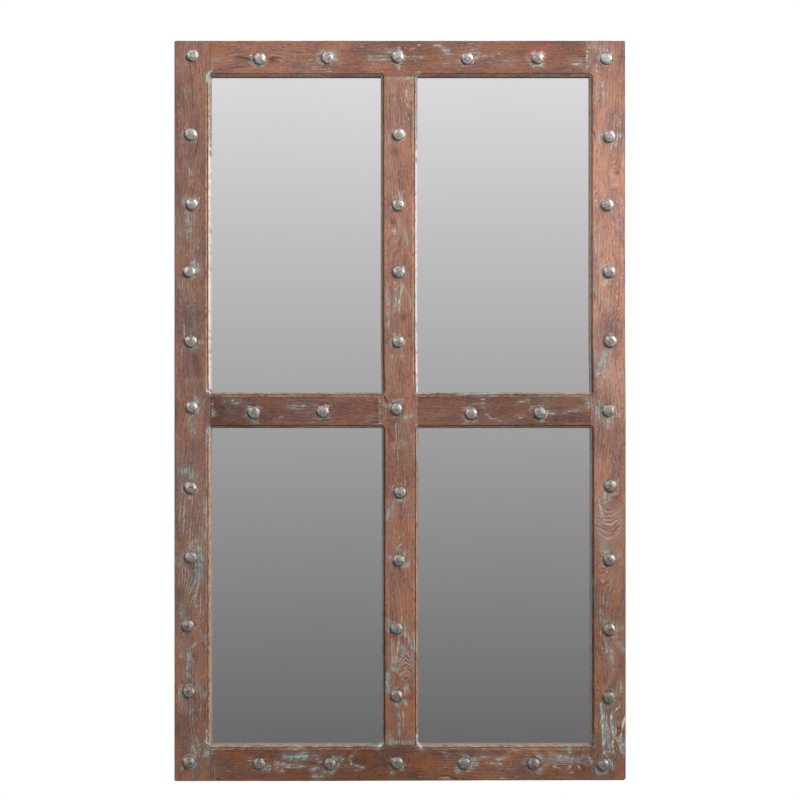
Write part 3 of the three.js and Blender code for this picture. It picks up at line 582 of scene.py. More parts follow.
def face_marks(x, z, ring, distance, halo, stud_shade, cracks, edge, plain, seed):
    """What lies on the face at each point, as channels of the mesh's layers marks and tints."""
    outset, faces_x, faces_z = ring
    faces = faces_x > 0, faces_x < 0, faces_z > 0, faces_z < 0
    faces_right, faces_left, faces_up, faces_down = faces
    on_left_stile, on_right_stile = x < TOUCH - INNER_HALF_WIDTH, x > INNER_HALF_WIDTH - TOUCH
    broken = lattice_noise(x / BROKEN_SIZE, z / BROKEN_SIZE, seed + 6)
    upper, lower = smooth(z, *UPPER_HALF), smooth(z, *LOWER_HALF)
    gleam = faces_right * smooth(z, *GLEAM_RISE) * (1 - 0.5 * smooth(z, *GLEAM_FALL))
    bead_wear_and_highlight, bead_veil, bead_shade = bead_marks(outset, faces, on_left_stile, lower, broken)

    paint, turquoise = painted(x, z, PAINT)
    halo = halo * (0.7 + 0.5 * broken)
    turquoise = np.where(halo > paint, 0.2 + 0.75 * lower, turquoise)
    threads = smooth(lattice_noise(x / THREADS_SIZE, z / THREADS_SIZE, seed + 7), 0.42, 0.8)
    threads = np.maximum(0.6 * threads, plain)
    veil = np.maximum.reduce([0.6 * painted(x, z, PAINT, VEIL_SPREAD)[0], 0.35 * threads, 0.5 * halo])
    # Painted highlight, put in as pale paint: along the ledge of the moulding where it faces up, and on the
    # lip where the right-facing mouldings catch the light
    ledge_highlight = 1.1 * bump_at(outset, LEDGE_OUTSET, LEDGE_REACH) * faces_up
    left_lip_reach = np.where(on_right_stile, RIGHT_STILE_LIP_REACH, LEFT_LIP_REACH)
    lip = np.maximum.reduce([
        (outset < LIP_REACH) * np.where(on_left_stile | faces_up, 0.9, 0.35),
        (outset < left_lip_reach) * faces_left * 1.1,
        gleam * smooth(outset, *GLEAM_END) * (1.3 + 0.9 * broken)])
    turquoise = np.where(lip > paint, 0.05, turquoise)
    paint = np.maximum.reduce([paint, halo, ledge_highlight, lip])

    # Painted shade: the moulding's groove darkened, more or less by the way it faces and less where the
    # right-facing mouldings catch the light, and a band of painted shade on the mouldings that face left,
    # both lighter on left-facing mouldings in the upper half
    deepest = np.where(on_left_stile, 0.6, np.where(faces_up, 0.35, np.where(faces_down, 0.2, 1.1)))
    deepest = deepest * (1 - 0.45 * gleam) * (1 - 0.3 * upper * faces_left)
    groove_shade = smooth(np.abs(outset - GROOVE_OUTSET), GROOVE_REACH, GROOVE_CORE) * deepest
    # Darker along the frame's outer edges
    outer_edge_dark = 0.3 * bump_at(edge, 0, EDGE_DARK_REACH)
    shaded = 0.62 * faces_left * smooth(outset, *SHADE_START) * smooth(outset, *SHADE_END)
    shaded = shaded * (1 - 0.45 * upper)
    # Dirt and painted shade in the cracks and chips
    crack_dirt_and_shade = np.clip(cracks / CRACK_DARK_DEPTH, 0, 1)
    stains_and_shadow = painted(x, z, STAINS_AND_SHADOW)[0]
    # Real dirt and stains together with painted shade from the studs, groove, cracks and left-facing
    # mouldings, in one dark channel
    dirt_and_shade = np.maximum.reduce([groove_shade, crack_dirt_and_shade, outer_edge_dark, bead_shade, stains_and_shadow, 0.7 * stud_shade, shaded])

    # Wear on the arris, with painted highlight on the arrises that face right and up, and where the mouldings
    # catch the light
    lit_arris_gain = np.where(faces_right, 1, np.where(faces_up, 1.5, 0.3))
    arris_wear_and_highlight = bump_at(outset, ARRIS_OUTSET, ARRIS_REACH) * (0.15 + 0.6 * broken + 0.8 * gleam) * lit_arris_gain
    wear_and_highlight = np.maximum.reduce([arris_wear_and_highlight, bead_wear_and_highlight, painted(x, z, WORN)[0]])
    marks = (paint, painted(x, z, RED)[0], dirt_and_shade, wear_and_highlight)
    return marks, (threads, turquoise, np.maximum(veil, bead_veil), distance / MM)


OUTER_EASE = 1.1 * MM
BUTT_EASE = 0.45 * MM
CORNER_RADIUS = 3.4 * MM
WORN_CORNER_RADIUS = 6 * MM
OUTLINE_REACH = 14 * MM
OUTLINE_WAVER, WAVER_SIZE = 0.15 * MM, 45 * MM
RAGGED_FROM, RAGGED_DEPTH, RAGGED_SIZE = 0.8 * MM, 0.7 * MM, 9 * MM
EASE_SIZE, EASE_LEAST, EASE_RANGE = 24 * MM, 0.6, 1.1
HOLLOW_SIZE, HOLLOW_DEPTH = (60 * MM, 22 * MM), 0.4 * MM
HALO_DENT = 0.5 * MM
FIGURE_DEPTH, PLAIN_FIGURE_DEPTH = 0.1 * MM, 0.25 * MM
FACE_START = 3 * MM

# How much of the paint, red, dirt with painted shade, and wear with painted highlight of an edge runs on down
# the side
SIDE_SHARES = (1.3, 1, 0.9, 0.9)
PAINT_DEPTH, PAINT_CORE = 25 * MM, 1.25
SIDE_PLAIN = 0.6


def rounded_drop(distance, radius):
    """Drop of a rounded edge at a distance in from it."""
    inside = np.clip(1 - distance / radius, 0, 1)
    return radius * (1 - np.sqrt(1 - inside**2))


def front_depth(u, v, x, z, outset, rings, plain, halo, cracks, edge, seed):
    """Depth of a member's front: its moulding, grain relief, hollows, stud dents, cracks and eased edge."""
    ragged = (lattice_noise(u / RAGGED_SIZE, v * 0, seed) - 0.5) * RAGGED_DEPTH
    drop = moulding_drop(np.where(outset > RAGGED_FROM, outset + ragged, outset))
    hollows = lattice_noise(u / HOLLOW_SIZE[0], v / HOLLOW_SIZE[1], seed + 3)
    on_face = np.clip((outset - MOULDING_WIDTH) / FACE_START, 0, 1)
    figure = (FIGURE_DEPTH + PLAIN_FIGURE_DEPTH * plain) * (1 + np.cos(2 * math.pi * rings))
    drop = drop + on_face * (figure + HOLLOW_DEPTH * hollows + HALO_DENT * halo) + cracks
    wobble = lattice_noise((x + z) / EASE_SIZE, (x - z) / EASE_SIZE, seed + 4)
    return FACE_Y + drop + rounded_drop(edge, OUTER_EASE * (EASE_LEAST + EASE_RANGE * wobble))


def ring_faces(rows, columns, first=0):
    """Rows of quads, between rows of points that each run round."""
    faces = []
    for near in range(first, first + rows * columns, columns):
        for column in range(columns):
            beside = (column + 1) % columns
            faces.append((near + column, near + beside, near + columns + beside, near + columns + column))
    return faces


def turned_faces(rows, columns):
    """Faces of a turned form: one point in the middle, rows of points round it, and a flat underside."""
    cap = [(0, 1 + column, 1 + (column + 1) % columns) for column in range(columns)]
    end = 1 + rows * columns
    return cap + ring_faces(rows, columns, 1) + [tuple(range(end, end + columns))]


def closed_outlines(u_lines, v, y, across, outer_low, outer_high, half_panel, seed):
    """The front's rows closed over sides and back, and how many points the high and low sides add to each."""
    backed = outer_low or outer_high
    outlines = []
    for station, row_v, row_y in zip(u_lines, v, y):
        front = list(zip(row_v, row_y, np.ones(len(row_v))))
        rebated = abs(station) < half_panel
        high = closing_side(front[-1], across[1], outer_high, -1, backed, rebated, station, seed)
        low = closing_side(front[0], across[0], outer_low, 1, backed, rebated, station, seed)
        outlines.append(front + high + low[::-1])
    return np.array(outlines), len(high), len(low)


def build_member(name, upright, across, along, outer_low, outer_high, tones_and_light, seed):
    """A stick of timber with its moulded, worn front as a fine grid, closed over sides and back.

    across and along are (low, high). outer_low and outer_high say whether that long side is on the
    frame's outside; the other sides are sight edges. The tones say how light the wood is along it: its
    tone with painted light and shade.
    """
    u_lines, v_lines = front_grid(upright, across, along, outer_low, outer_high)
    u, v = np.meshgrid(u_lines, v_lines, indexing="ij")
    x, z = (v, u) if upright else (u, v)
    ring = moulding_ring(x, z)
    rings, plain = ring_count(u, v, x, z, upright, seed + 1)
    distance, halo, stud_shade = stud_marks(x, z, seed + 20)
    cracks = crack_depth(x, z)
    edge = np.minimum(FRAME_HALF_WIDTH - np.abs(x), FRAME_HALF_HEIGHT - np.abs(z))
    y = front_depth(u, v, x, z, ring[0], rings, plain, halo, cracks, edge, seed)
    marks, tints = face_marks(x, z, ring, distance, halo, stud_shade, cracks, edge, plain, seed)

    # The outline wavers by hand and rounds at the frame's corners, and butted ends are eased
    from_end = np.minimum(u - along[0], along[1] - u)
    inwards = lattice_noise(u / WAVER_SIZE, v * 0, seed + 5) * OUTLINE_WAVER
    if along[1] > INNER_HALF_HEIGHT + JOINT_GAP:
        radius = np.where((x > 0) & (z < 0), WORN_CORNER_RADIUS, CORNER_RADIUS)
        inwards = inwards + rounded_drop(from_end, radius)
    else:
        y = y + rounded_drop(from_end, BUTT_EASE)
    for outer, side, sign in ((outer_low, across[0], 1), (outer_high, across[1], -1)):
        if outer:
            v = v + sign * inwards * np.clip(1 - np.abs(v - side) / OUTLINE_REACH, 0, 1)

    half_panel = (PANEL_HIGH.z if upright else PANEL_HIGH.x) + REBATE_CLEARANCE
    shape = across, outer_low, outer_high, half_panel, seed
    outlines, high_count, low_count = closed_outlines(u_lines, v, y, *shape)
    places, depths, lean_share = outlines[..., 0], outlines[..., 1], outlines[..., 2]
    stations = np.broadcast_to(u_lines[:, None], places.shape)
    px, pz = (places, stations) if upright else (stations, places)
    dx, dz = lean(px, pz)
    points = np.stack([px + dx * lean_share, depths, pz + dz * lean_share], axis=-1).reshape(-1, 3)
    rows, total = places.shape
    ends = [tuple(range(total)), tuple(reversed(range((rows - 1) * total, rows * total)))]
    mesh = bpy.data.meshes.new(name + "_timber")
    mesh.from_pydata(points.tolist(), [], ring_faces(rows - 1, total) + ends)

    # The sides carry on from the edge that they start from, and their rings run on down the depth
    def carried(values, share):
        sides = [np.repeat(values[:, -1:], high_count, axis=1), np.repeat(values[:, :1], low_count, axis=1)]
        return np.concatenate([values] + [side * share for side in sides], axis=1)

    depth = depths - carried(y, 1)
    fade = np.clip(PAINT_CORE - depth / PAINT_DEPTH, 0, 1)
    threads, turquoise, veil, distance = [carried(values, 1) for values in tints]
    tone_and_light = np.interp(u, np.linspace(*along, len(tones_and_light)), tones_and_light)
    add_layer(mesh, "marks", [carried(values, share) * fade for values, share in zip(marks, SIDE_SHARES)])
    add_layer(mesh, "tints", [threads * fade, turquoise, veil * fade, distance])
    rings = carried(rings, 1) + depth / RING_SPACING
    add_layer(mesh, "grain", [rings, carried(tone_and_light, 1), carried(plain, SIDE_PLAIN)])
    return finish_mesh(mesh, name + "_timber", sharp_degrees=40)


SIDE_EASE = 1.2 * MM
SIDE_STEPS = (0.1, 0.3, 0.55, 0.8, 1.0)
SIDE_BUMP, SIDE_BUMP_SIZE, SIDE_BUMP_CHANGE = 0.2 * MM, 30 * MM, 3.7


def closing_side(edge, limit, outer, inward, backed, rebated, station, seed):
    """One side of a ring, from the front's edge to the back: points (across, y, share of the lean)."""
    v, front_y, _ = edge
    if outer:
        column = []
        for index, share in enumerate(SIDE_STEPS):
            bump = lattice_noise(station / SIDE_BUMP_SIZE, np.array(index * SIDE_BUMP_CHANGE), seed + 8)
            y = front_y + (-SIDE_EASE - front_y) * share
            column.append((v + inward * SIDE_BUMP * float(bump), y, 1 - share))
        return column + [(v + inward * SIDE_EASE, 0, 0)]
    if not backed:
        return [(v, (front_y + REBATE_FLOOR_Y) / 2, 1), (v, REBATE_FLOOR_Y, 1)]
    step_in = limit + inward * REBATE_WIDTH
    turned_back = (step_in, REBATE_FLOOR_Y, 0) if rebated else (limit, 0, 0)
    return [(v, REBATE_FLOOR_Y, 1), turned_back, (step_in, 0, 0)]


def add_layer(mesh, name, channels):
    """Stores up to four channels of values at the points of a mesh."""
    layer_data = mesh.color_attributes.new(name, "FLOAT_COLOR", "POINT").data
    values = np.ones((len(layer_data), 4), np.float32)
    for index, channel in enumerate(channels):
        values[:, index] = np.ravel(channel)
    layer_data.foreach_set("color", values.ravel())


def add_object(name, data):
    made = bpy.data.objects.new(name, data)
    bpy.context.scene.collection.objects.link(made)
    return made


def finish_mesh(mesh, name, sharp_degrees):
    """Turns the faces outwards, shades them smooth up to an angle, and links the object."""
    work = bmesh.new()
    work.from_mesh(mesh)
    bmesh.ops.recalc_face_normals(work, faces=work.faces)
    work.to_mesh(mesh)
    work.free()
    mesh.shade_smooth()
    mesh.set_sharp_from_angle(angle=math.radians(sharp_degrees))
    return add_object(name, mesh)


class Field:
    """A shader node's output, which can be added, subtracted and multiplied as a number can."""

    def __init__(self, socket):
        self.socket = socket

    def __add__(self, other):
        return maths("ADD", self, other)

    def __sub__(self, other):
        return maths("SUBTRACT", self, other)

    def __rsub__(self, other):
        return maths("SUBTRACT", other, self)

    def __mul__(self, other):
        return maths("MULTIPLY", self, other)

    __radd__, __rmul__ = __add__, __mul__


def feed(made, inputs):
    """Sets a node's inputs, or links them where a field is given."""
    for key, value in inputs.items():
        if isinstance(value, Field):
            made.id_data.links.new(value.socket, made.inputs[key])
        else:
            made.inputs[key].default_value = value


def node(tree, kind, inputs=None, output=0, **settings):
    """One output of a new shader node, with the node's settings made and its inputs fed."""
    made = tree.nodes.new("ShaderNode" + kind)
    for key, value in settings.items():
        setattr(made, key, value)
    feed(made, inputs or {})
    return Field(made.outputs[output])


def tree_of(*values):
    """The node tree of the first field among the values."""
    return next(value.socket.id_data for value in values if isinstance(value, Field))


def maths(operation, *values, clamp=False):
    return node(tree_of(*values), "Math", dict(enumerate(values)), operation=operation, use_clamp=clamp)


def most_of(*values):
    """The greatest of some numbers."""
    first, *others = values
    for other in others:
        first = maths("MAXIMUM", first, other)
    return first


def mix(first, second, share, blend="MIX"):
    """A colour that goes from first to second by share."""
    inputs = {0: share, 6: first, 7: second}
    return node(tree_of(share, first, second), "Mix", inputs, 2, data_type="RGBA", blend_type=blend)


def noise(place, scale, detail, roughness):
    inputs = {"Vector": place, "Scale": scale, "Detail": detail, "Roughness": roughness}
    return node(tree_of(place), "TexNoise", inputs, "Fac")


def stretch(place, scales, shift=(0, 0, 0)):
    return node(tree_of(place), "Mapping", {"Vector": place, "Scale": scales, "Location": shift})


def grain_noise(place, across, along, shift=(0, 0, 0), detail=3, roughness=0.6):
    """Noise with so many bumps to a metre across the grain and along it."""
    return noise(stretch(place, (across, across, along), shift), 1, detail, roughness)


def step(value, low, high):
    """0 below low, 1 above high, and smooth between."""
    inputs = {0: value, 1: low, 2: high, 3: 0, 4: 1}
    return node(tree_of(value), "MapRange", inputs, interpolation_type="SMOOTHSTEP", clamp=True)


def joined(x, y, z):
    """A vector out of its three parts."""
    return node(tree_of(x, y, z), "CombineXYZ", {0: x, 1: y, 2: z})


def split(field, kind="XYZ"):
    """The three parts of a vector or a colour."""
    first = node(tree_of(field), "Separate" + kind, {0: field})
    return [Field(socket) for socket in first.socket.node.outputs]


def layer(tree, name):
    """The four channels of one of the mesh's layers."""
    colour = node(tree, "VertexColor", layer_name=name)
    return split(colour, "Color") + [Field(colour.socket.node.outputs["Alpha"])]


def object_place(tree):
    return node(tree, "TexCoord", output="Object")


def bumped(height, strength, distance):
    """The normal that a height gives."""
    return node(tree_of(height), "Bump", {"Height": height, "Strength": strength, "Distance": distance})


def new_material(name):
    """A material, its node tree and its shader."""
    material = bpy.data.materials.new(name)
    material.use_nodes = True
    tree = material.node_tree
    return material, tree, tree.nodes["Principled BSDF"]


def srgb(red, green, blue):
    """A colour written in screen values from 0 to 255, as the shader takes it."""
    def linear(value):
        share = value / 255
        return share / 12.92 if share <= 0.04045 else ((share + 0.055) / 1.055) ** 2.4
    return linear(red), linear(green), linear(blue), 1.0


PALE_PAINT = srgb(190, 190, 180)
BRIGHT_PAINT = srgb(212, 226, 222)
CHALK_PAINT = srgb(246, 234, 228)
TURQUOISE = srgb(148, 187, 188)
VEIL = srgb(148, 148, 142)
RED_PAINT = srgb(180, 74, 84)
DIRT_AND_SHADE = srgb(46, 32, 26)
ORANGE_WOOD = srgb(165, 115, 93)
BROWN_WOOD = srgb(168, 108, 73)
PLUM_WOOD = srgb(138, 99, 91)
DEEP_WOOD = srgb(82, 55, 48)
RUBBED_WOOD = srgb(180, 156, 144)
WORN_AND_HIGHLIT_WOOD = srgb(216, 178, 148)
HEART_DEPTH = 0.07
END_RINGS = 260


def scaled(colour, factor):
    """A colour made lighter or darker."""
    return tuple(channel * factor for channel in colour[:3]) + (1.0,)


def warmed(colour, warmth):
    """A colour with less blue and a little less green in it."""
    red, green, blue, _ = colour
    return red, green * (1 - 0.5 * warmth), blue * (1 - warmth), 1.0


def bare_wood(z, stick, flow, late, threads, tone_and_light, wear_and_highlight, warmth):
    """The wood's colour without paint and dirt, with its tone and painted light, its wear and painted
    highlight, and its streaks, fibres and flecks.
    """
    streaks = grain_noise(flow, 330, 28, (0, 0, 0), 4, 0.66)
    fibres = grain_noise(flow, 720, 120, (3, 0, 5))
    pores = grain_noise(flow, 440, 90, (7, 0, 2), 2, 0.5)
    flecks = grain_noise(flow, 460, 210, (1, 0, 9), 2, 0.5)
    blotch = grain_noise(flow, 46, 12, (1, 2, 7), 3, 0.55)
    broad = grain_noise(stick, 12, 6, (4, 1, 2), 2, 0.55)
    rubbed_wood = warmed(RUBBED_WOOD, warmth)
    colour = mix(warmed(ORANGE_WOOD, warmth), warmed(BROWN_WOOD, warmth), step(z, 0.1, -0.7))
    colour = mix(colour, warmed(PLUM_WOOD, warmth), step(blotch, 0.41, 0.69))
    colour = mix(colour, DEEP_WOOD, 0.45 * step(broad, 0.48, 0.7))
    colour = mix(colour, DEEP_WOOD, late * (0.12 + 0.5 * threads))
    colour = mix(colour, DEEP_WOOD, 0.46 * step(streaks, 0.48, 0.72))
    colour = mix(colour, rubbed_wood, 0.36 * (step(streaks, 0.5, 0.3) * step(fibres, 0.42, 0.62)))
    colour = mix(colour, DEEP_WOOD, 0.55 * step(pores, 0.56, 0.66))
    colour = mix(colour, rubbed_wood, 0.45 * step(flecks, 0.58, 0.7))
    # The wood's tone along the member, with painted light and shade in it
    colour = mix(colour, joined(tone_and_light, tone_and_light, tone_and_light), 1.0, "MULTIPLY")
    # Wear and painted highlight, in pale worn wood
    colour = mix(colour, WORN_AND_HIGHLIT_WOOD, wear_and_highlight * step(pores, 0.66, 0.4) * step(streaks, 0.78, 0.3))
    return colour, streaks, fibres, flecks


def paint_cover(stick, flow, grained, crumbs, paint, from_stud):
    """How much paint covers the wood: in the grain, in crumbs where it was thick, and round the studs."""
    strands = grain_noise(flow, 400, 34, (4, 5, 1))
    specks = grain_noise(stick, 480, 330, (3, 7, 5), 2)
    lobes = grain_noise(stick, 75, 75, (5, 9, 1), 1, 0.5)
    lines = grained * step(crumbs, 0.36, 0.56)
    crumbled = most_of(step(crumbs + 0.2 * paint, 0.66, 0.73), step(strands + 0.16 * paint, 0.7, 0.77))
    crumbled = crumbled * step(specks + 0.08 * paint, 0.5, 0.6)
    ring = step(from_stud + (4 * crumbs - 2), 3, 1.8) * step(lobes, 0.52, 0.62)
    return most_of(0.8 * lines, 0.85 * crumbled, 0.85 * ring)


def paint_coat(patchy, fibres, flecks, paint, turquoise):
    """The paint's colour: pale to turquoise, worn through to wood in flecks, and chalky where it is thick."""
    coat = mix(PALE_PAINT, TURQUOISE, turquoise * step(patchy, 0.2, 0.5))
    coat = mix(coat, BRIGHT_PAINT, 0.8 * step(fibres, 0.46, 0.72))
    coat = mix(coat, PLUM_WOOD, 0.6 * step(flecks, 0.46, 0.66))
    thick = mix(CHALK_PAINT, BRIGHT_PAINT, step(turquoise, 0.05, 0.3))
    return mix(coat, thick, step(paint, 1.25, 1.6))


def sawn_share(tree, upright):
    """1 on a member's sawn ends and 0 elsewhere."""
    facing = split(node(tree, "TexCoord", output="Normal"))[2 if upright else 0]
    return step(maths("ABSOLUTE", facing), 0.8, 0.92)


def sawn_wood(across, deep):
    """Dark arcs of rings round the heart of the tree."""
    heart = joined(across, deep + HEART_DEPTH, 0)
    away = node(tree_of(heart), "VectorMath", {0: heart}, "Value", operation="LENGTH")
    arcs = maths("FRACT", END_RINGS * away)
    return mix(scaled(PLUM_WOOD, 0.5), scaled(DEEP_WOOD, 0.8), step(arcs, 0.3, 0.9))


def wood_material(name, upright, offset, warmth):
    """Old waxed hardwood: rings and fibres along the member, with old paint left in its grain."""
    material, tree, shader = new_material(name)
    x, deep, z = split(object_place(tree))
    across, along = (x, z) if upright else (z, x)
    stick = stretch(joined(across, deep, along), (1, 1, 1), offset)
    rings, tone_and_light, plain, _ = layer(tree, "grain")
    threads, turquoise, veil, distance = layer(tree, "tints")
    paint, red, dirt_and_shade, wear_and_highlight = layer(tree, "marks")
    from_stud = distance - STUD_RADIUS / MM

    # The grain's own space runs with the rings
    rings = rings + grain_noise(stick, 130, 38)
    flow = stretch(joined(rings * RING_SPACING, deep, along), (1, 1, 1), offset)
    phase = maths("FRACT", rings)
    line = 1 - step(maths("ABSOLUTE", phase - 0.45), 0.07, 0.17)
    late = step(phase, 0.55, 0.68) * (1 - step(phase, 0.72, 0.95))
    colour, streaks, fibres, flecks = bare_wood(z, stick, flow, late, threads, tone_and_light, wear_and_highlight, warmth)

    # Old paint: a veil of it, its remnants and red marks, and then the dirt and painted shade on all of it
    haze = grain_noise(stick, 40, 16, (8, 3, 4), 4, 0.65)
    veiled = veil * step(haze, 0.32, 0.6) * (0.25 + 0.5 * step(fibres, 0.4, 0.62))
    colour = mix(colour, mix(VEIL, TURQUOISE, 0.4 * turquoise), veiled)
    crumbs = grain_noise(stick, 540, 400, (2, 5, 8), 4, 0.78)
    patchy = grain_noise(flow, 70, 30, (6, 8, 3))
    grained = line * step(patchy + (0.16 * threads + 0.34 * paint + 0.16 * plain), 0.66, 0.8)
    cover = paint_cover(stick, flow, grained, crumbs, paint, from_stud)
    colour = mix(colour, paint_coat(patchy, fibres, flecks, paint, turquoise), cover)
    red_share = maths("MULTIPLY", red, 0.62, clamp=True)
    colour = mix(colour, RED_PAINT, step(crumbs + 0.2 * red, 0.6, 0.74) * red_share)
    # A painted shadow in a thin ring round each stud's rim, over the dirt and painted shade
    dirt_and_shade = most_of(dirt_and_shade * step(crumbs, 0.75, 0.45), 0.4 * step(from_stud, 0.9, 0.2))
    colour = mix(colour, DIRT_AND_SHADE, 0.9 * dirt_and_shade)
    colour = mix(colour, sawn_wood(across, deep), sawn_share(tree, upright))
    rough = 0.47 + 0.2 * streaks + 0.2 * cover
    height = 0.4 * cover - streaks - 0.25 * late
    feed(shader, {"Base Color": colour, "Roughness": rough, "Specular IOR Level": 0.35,
                  "Normal": bumped(height, 0.6, 0.6 * MM)})
    return material


def iron_material():
    """Hammered pewter grey iron, rubbed on its high spots, brown in its hollows, and duller lower down by
    painted light.
    """
    material, tree, shader = new_material("hammered_iron")
    place = object_place(tree)
    patches = noise(place, 190, 4, 0.65)
    specks = noise(place, 560, 3, 0.6)
    crumbs = noise(place, 420, 4, 0.7)
    # Painted light: the iron is lighter at the top and darker lower down
    low = step(split(place)[2], 0.85, -0.85)
    rubbed = mix(srgb(242, 234, 228), srgb(180, 171, 162), low)
    tarnished = mix(srgb(158, 142, 130), srgb(114, 99, 88), low)
    colour = mix(rubbed, tarnished, 0.8 * step(patches, 0.44, 0.64))
    colour = mix(colour, srgb(66, 56, 46), 0.7 * step(specks, 0.58, 0.7))
    paint, red, dirt_and_shade, _ = layer(tree, "marks")
    cover = step(crumbs + 0.3 * paint, 0.66, 0.76)
    red_cover = step(crumbs + 0.35 * red, 0.7, 0.8)
    colour = mix(colour, TURQUOISE, 0.8 * cover)
    colour = mix(colour, RED_PAINT, 0.8 * red_cover)
    colour = mix(colour, DIRT_AND_SHADE, 0.85 * dirt_and_shade)
    dull = most_of(cover, red_cover, dirt_and_shade)
    rough = 0.34 + 0.3 * patches + 0.35 * dull
    feed(shader, {"Base Color": colour, "Metallic": 1 - 0.9 * dull, "Roughness": rough,
                  "Normal": bumped(patches + 0.4 * specks, 0.4, 0.7 * MM)})
    return material


def mirror_material():
    """Silvered glass, clean, with the faintest haze."""
    material, tree, shader = new_material("mirror_glass")
    haze = noise(object_place(tree), 3, 2, 0.5)
    colour = mix(srgb(246, 246, 246), srgb(242, 242, 242), haze)
    feed(shader, {"Base Color": colour, "Metallic": 1.0, "Roughness": 0.012 + 0.012 * haze})
    return material


def plywood_material():
    """Bare plywood: pale broad rotary grain with small dark flecks."""
    material, tree, shader = new_material("bare_plywood")
    place = object_place(tree)
    bands = maths("FRACT", 16 * grain_noise(place, 7, 1.8, detail=5, roughness=0.42))
    fibres = grain_noise(place, 520, 16, detail=4, roughness=0.65)
    clouds = grain_noise(place, 5, 1.5, (3, 1, 2), 3, 0.5)
    colour = mix(srgb(204, 173, 132), srgb(190, 158, 116), step(clouds, 0.3, 0.7))
    colour = mix(colour, srgb(160, 122, 82), 0.7 * (step(bands, 0.15, 0.8) * step(bands, 0.95, 0.86)))
    colour = mix(colour, srgb(140, 106, 72), 0.55 * step(fibres, 0.5, 0.72))
    feed(shader, {"Base Color": colour, "Roughness": 0.6 + 0.2 * fibres,
                  "Normal": bumped(fibres, 0.35, 0.3 * MM)})
    return material


def zinc_material():
    """Zinc plated steel with a faint spangle."""
    material, tree, shader = new_material("zinc_steel")
    spangle = noise(object_place(tree), 300, 2, 0.5)
    colour = mix(srgb(196, 196, 190), srgb(168, 168, 160), spangle)
    feed(shader, {"Base Color": colour, "Metallic": 1.0, "Roughness": 0.25 + 0.2 * spangle})
    return material


def rubber_material():
    """Matt black rubber, slightly dusty."""
    material, tree, shader = new_material("bumper_rubber")
    dust = noise(object_place(tree), 240, 3, 0.6)
    colour = mix(srgb(28, 28, 30), srgb(58, 56, 54), step(dust, 0.5, 0.8))
    feed(shader, {"Base Color": colour, "Roughness": 0.7 + 0.2 * dust})
    return material


# Timber members: place across and along, which sides are outer ones, how light the wood is from the low end
# to the high end, which is its tone with painted light and shade, and how warm its colour is
FULL_WIDTH = (-INNER_HALF_WIDTH + JOINT_GAP, INNER_HALF_WIDTH - JOINT_GAP)
FULL_HEIGHT = (-FRAME_HALF_HEIGHT, FRAME_HALF_HEIGHT)
GRILLE_HEIGHT = (-INNER_HALF_HEIGHT + JOINT_GAP, INNER_HALF_HEIGHT - JOINT_GAP)
MULLION_SPAN = (MULLION_LOW.x, MULLION_HIGH.x)
MID_RAIL_SPAN = (MID_RAIL_LOW.z, MID_RAIL_HIGH.z)
MEMBER_SEED, MEMBER_SEEDS, WOOD_SHIFT = 100, 20, (1.7, 0.9, 2.3)
MEMBERS = [
    ("left_stile", True, (-FRAME_HALF_WIDTH, -INNER_HALF_WIDTH), FULL_HEIGHT, True, False,
     (0.88, 0.83, 0.86, 0.8, 0.76, 0.92), -0.1),
    ("right_stile", True, (INNER_HALF_WIDTH, FRAME_HALF_WIDTH), FULL_HEIGHT, False, True,
     (0.7, 0.83, 1.1, 1.3, 1.36, 0.88), -0.14),
    ("top_rail", False, (INNER_HALF_HEIGHT, FRAME_HALF_HEIGHT), FULL_WIDTH, False, True,
     (0.88, 0.95, 0.68, 0.65), 0.07),
    ("bottom_rail", False, (-FRAME_HALF_HEIGHT, -INNER_HALF_HEIGHT), FULL_WIDTH, True, False,
     (0.72, 0.54, 0.44, 0.65, 0.8, 0.6), 0.15),
    ("mullion", True, MULLION_SPAN, GRILLE_HEIGHT, False, False,
     (0.82, 0.94, 1.02, 0.87, 1.1, 0.92), -0.03),
    ("left_mid_rail", False, MID_RAIL_SPAN, (FULL_WIDTH[0], MULLION_SPAN[0] - JOINT_GAP), False, False,
     (0.49, 0.53, 0.62, 0.67), 0),
    ("right_mid_rail", False, MID_RAIL_SPAN, (MULLION_SPAN[1] + JOINT_GAP, FULL_WIDTH[1]), False, False,
     (0.64, 0.54, 0.53, 0.62), 0),
]
for index, (name, upright, *shape, warmth) in enumerate(MEMBERS):
    timber = build_member(name, upright, *shape, MEMBER_SEED + MEMBER_SEEDS * index)
    offset = tuple(shift * index for shift in WOOD_SHIFT)
    timber.data.materials.append(wood_material(name + "_wood", upright, offset, warmth))
    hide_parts(name)
    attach(timber, "frame_body")


# Studs: their hammering, as shares of the radius and angles, the two rings under the rim, as shares of
# its height and the radius, and the paint and the red on those that have some
STUD_SEED = 400
STUD_ROWS = 13
STUD_COLUMNS = 44
RIM_HEIGHT = 0.9 * MM
STUD_FLATS, FLAT_DEPTHS = 7, (0.93, 0.975)
STUD_DENTS, DENT_DEPTHS, DENT_REACHES = 26, (0.006, 0.022), (0.14, 0.26)
HIT_TILT_MOST = 72
LEAST_FACING = 0.05
RIM_WAVES, APEX_RISE = 6, 0.02 * MM
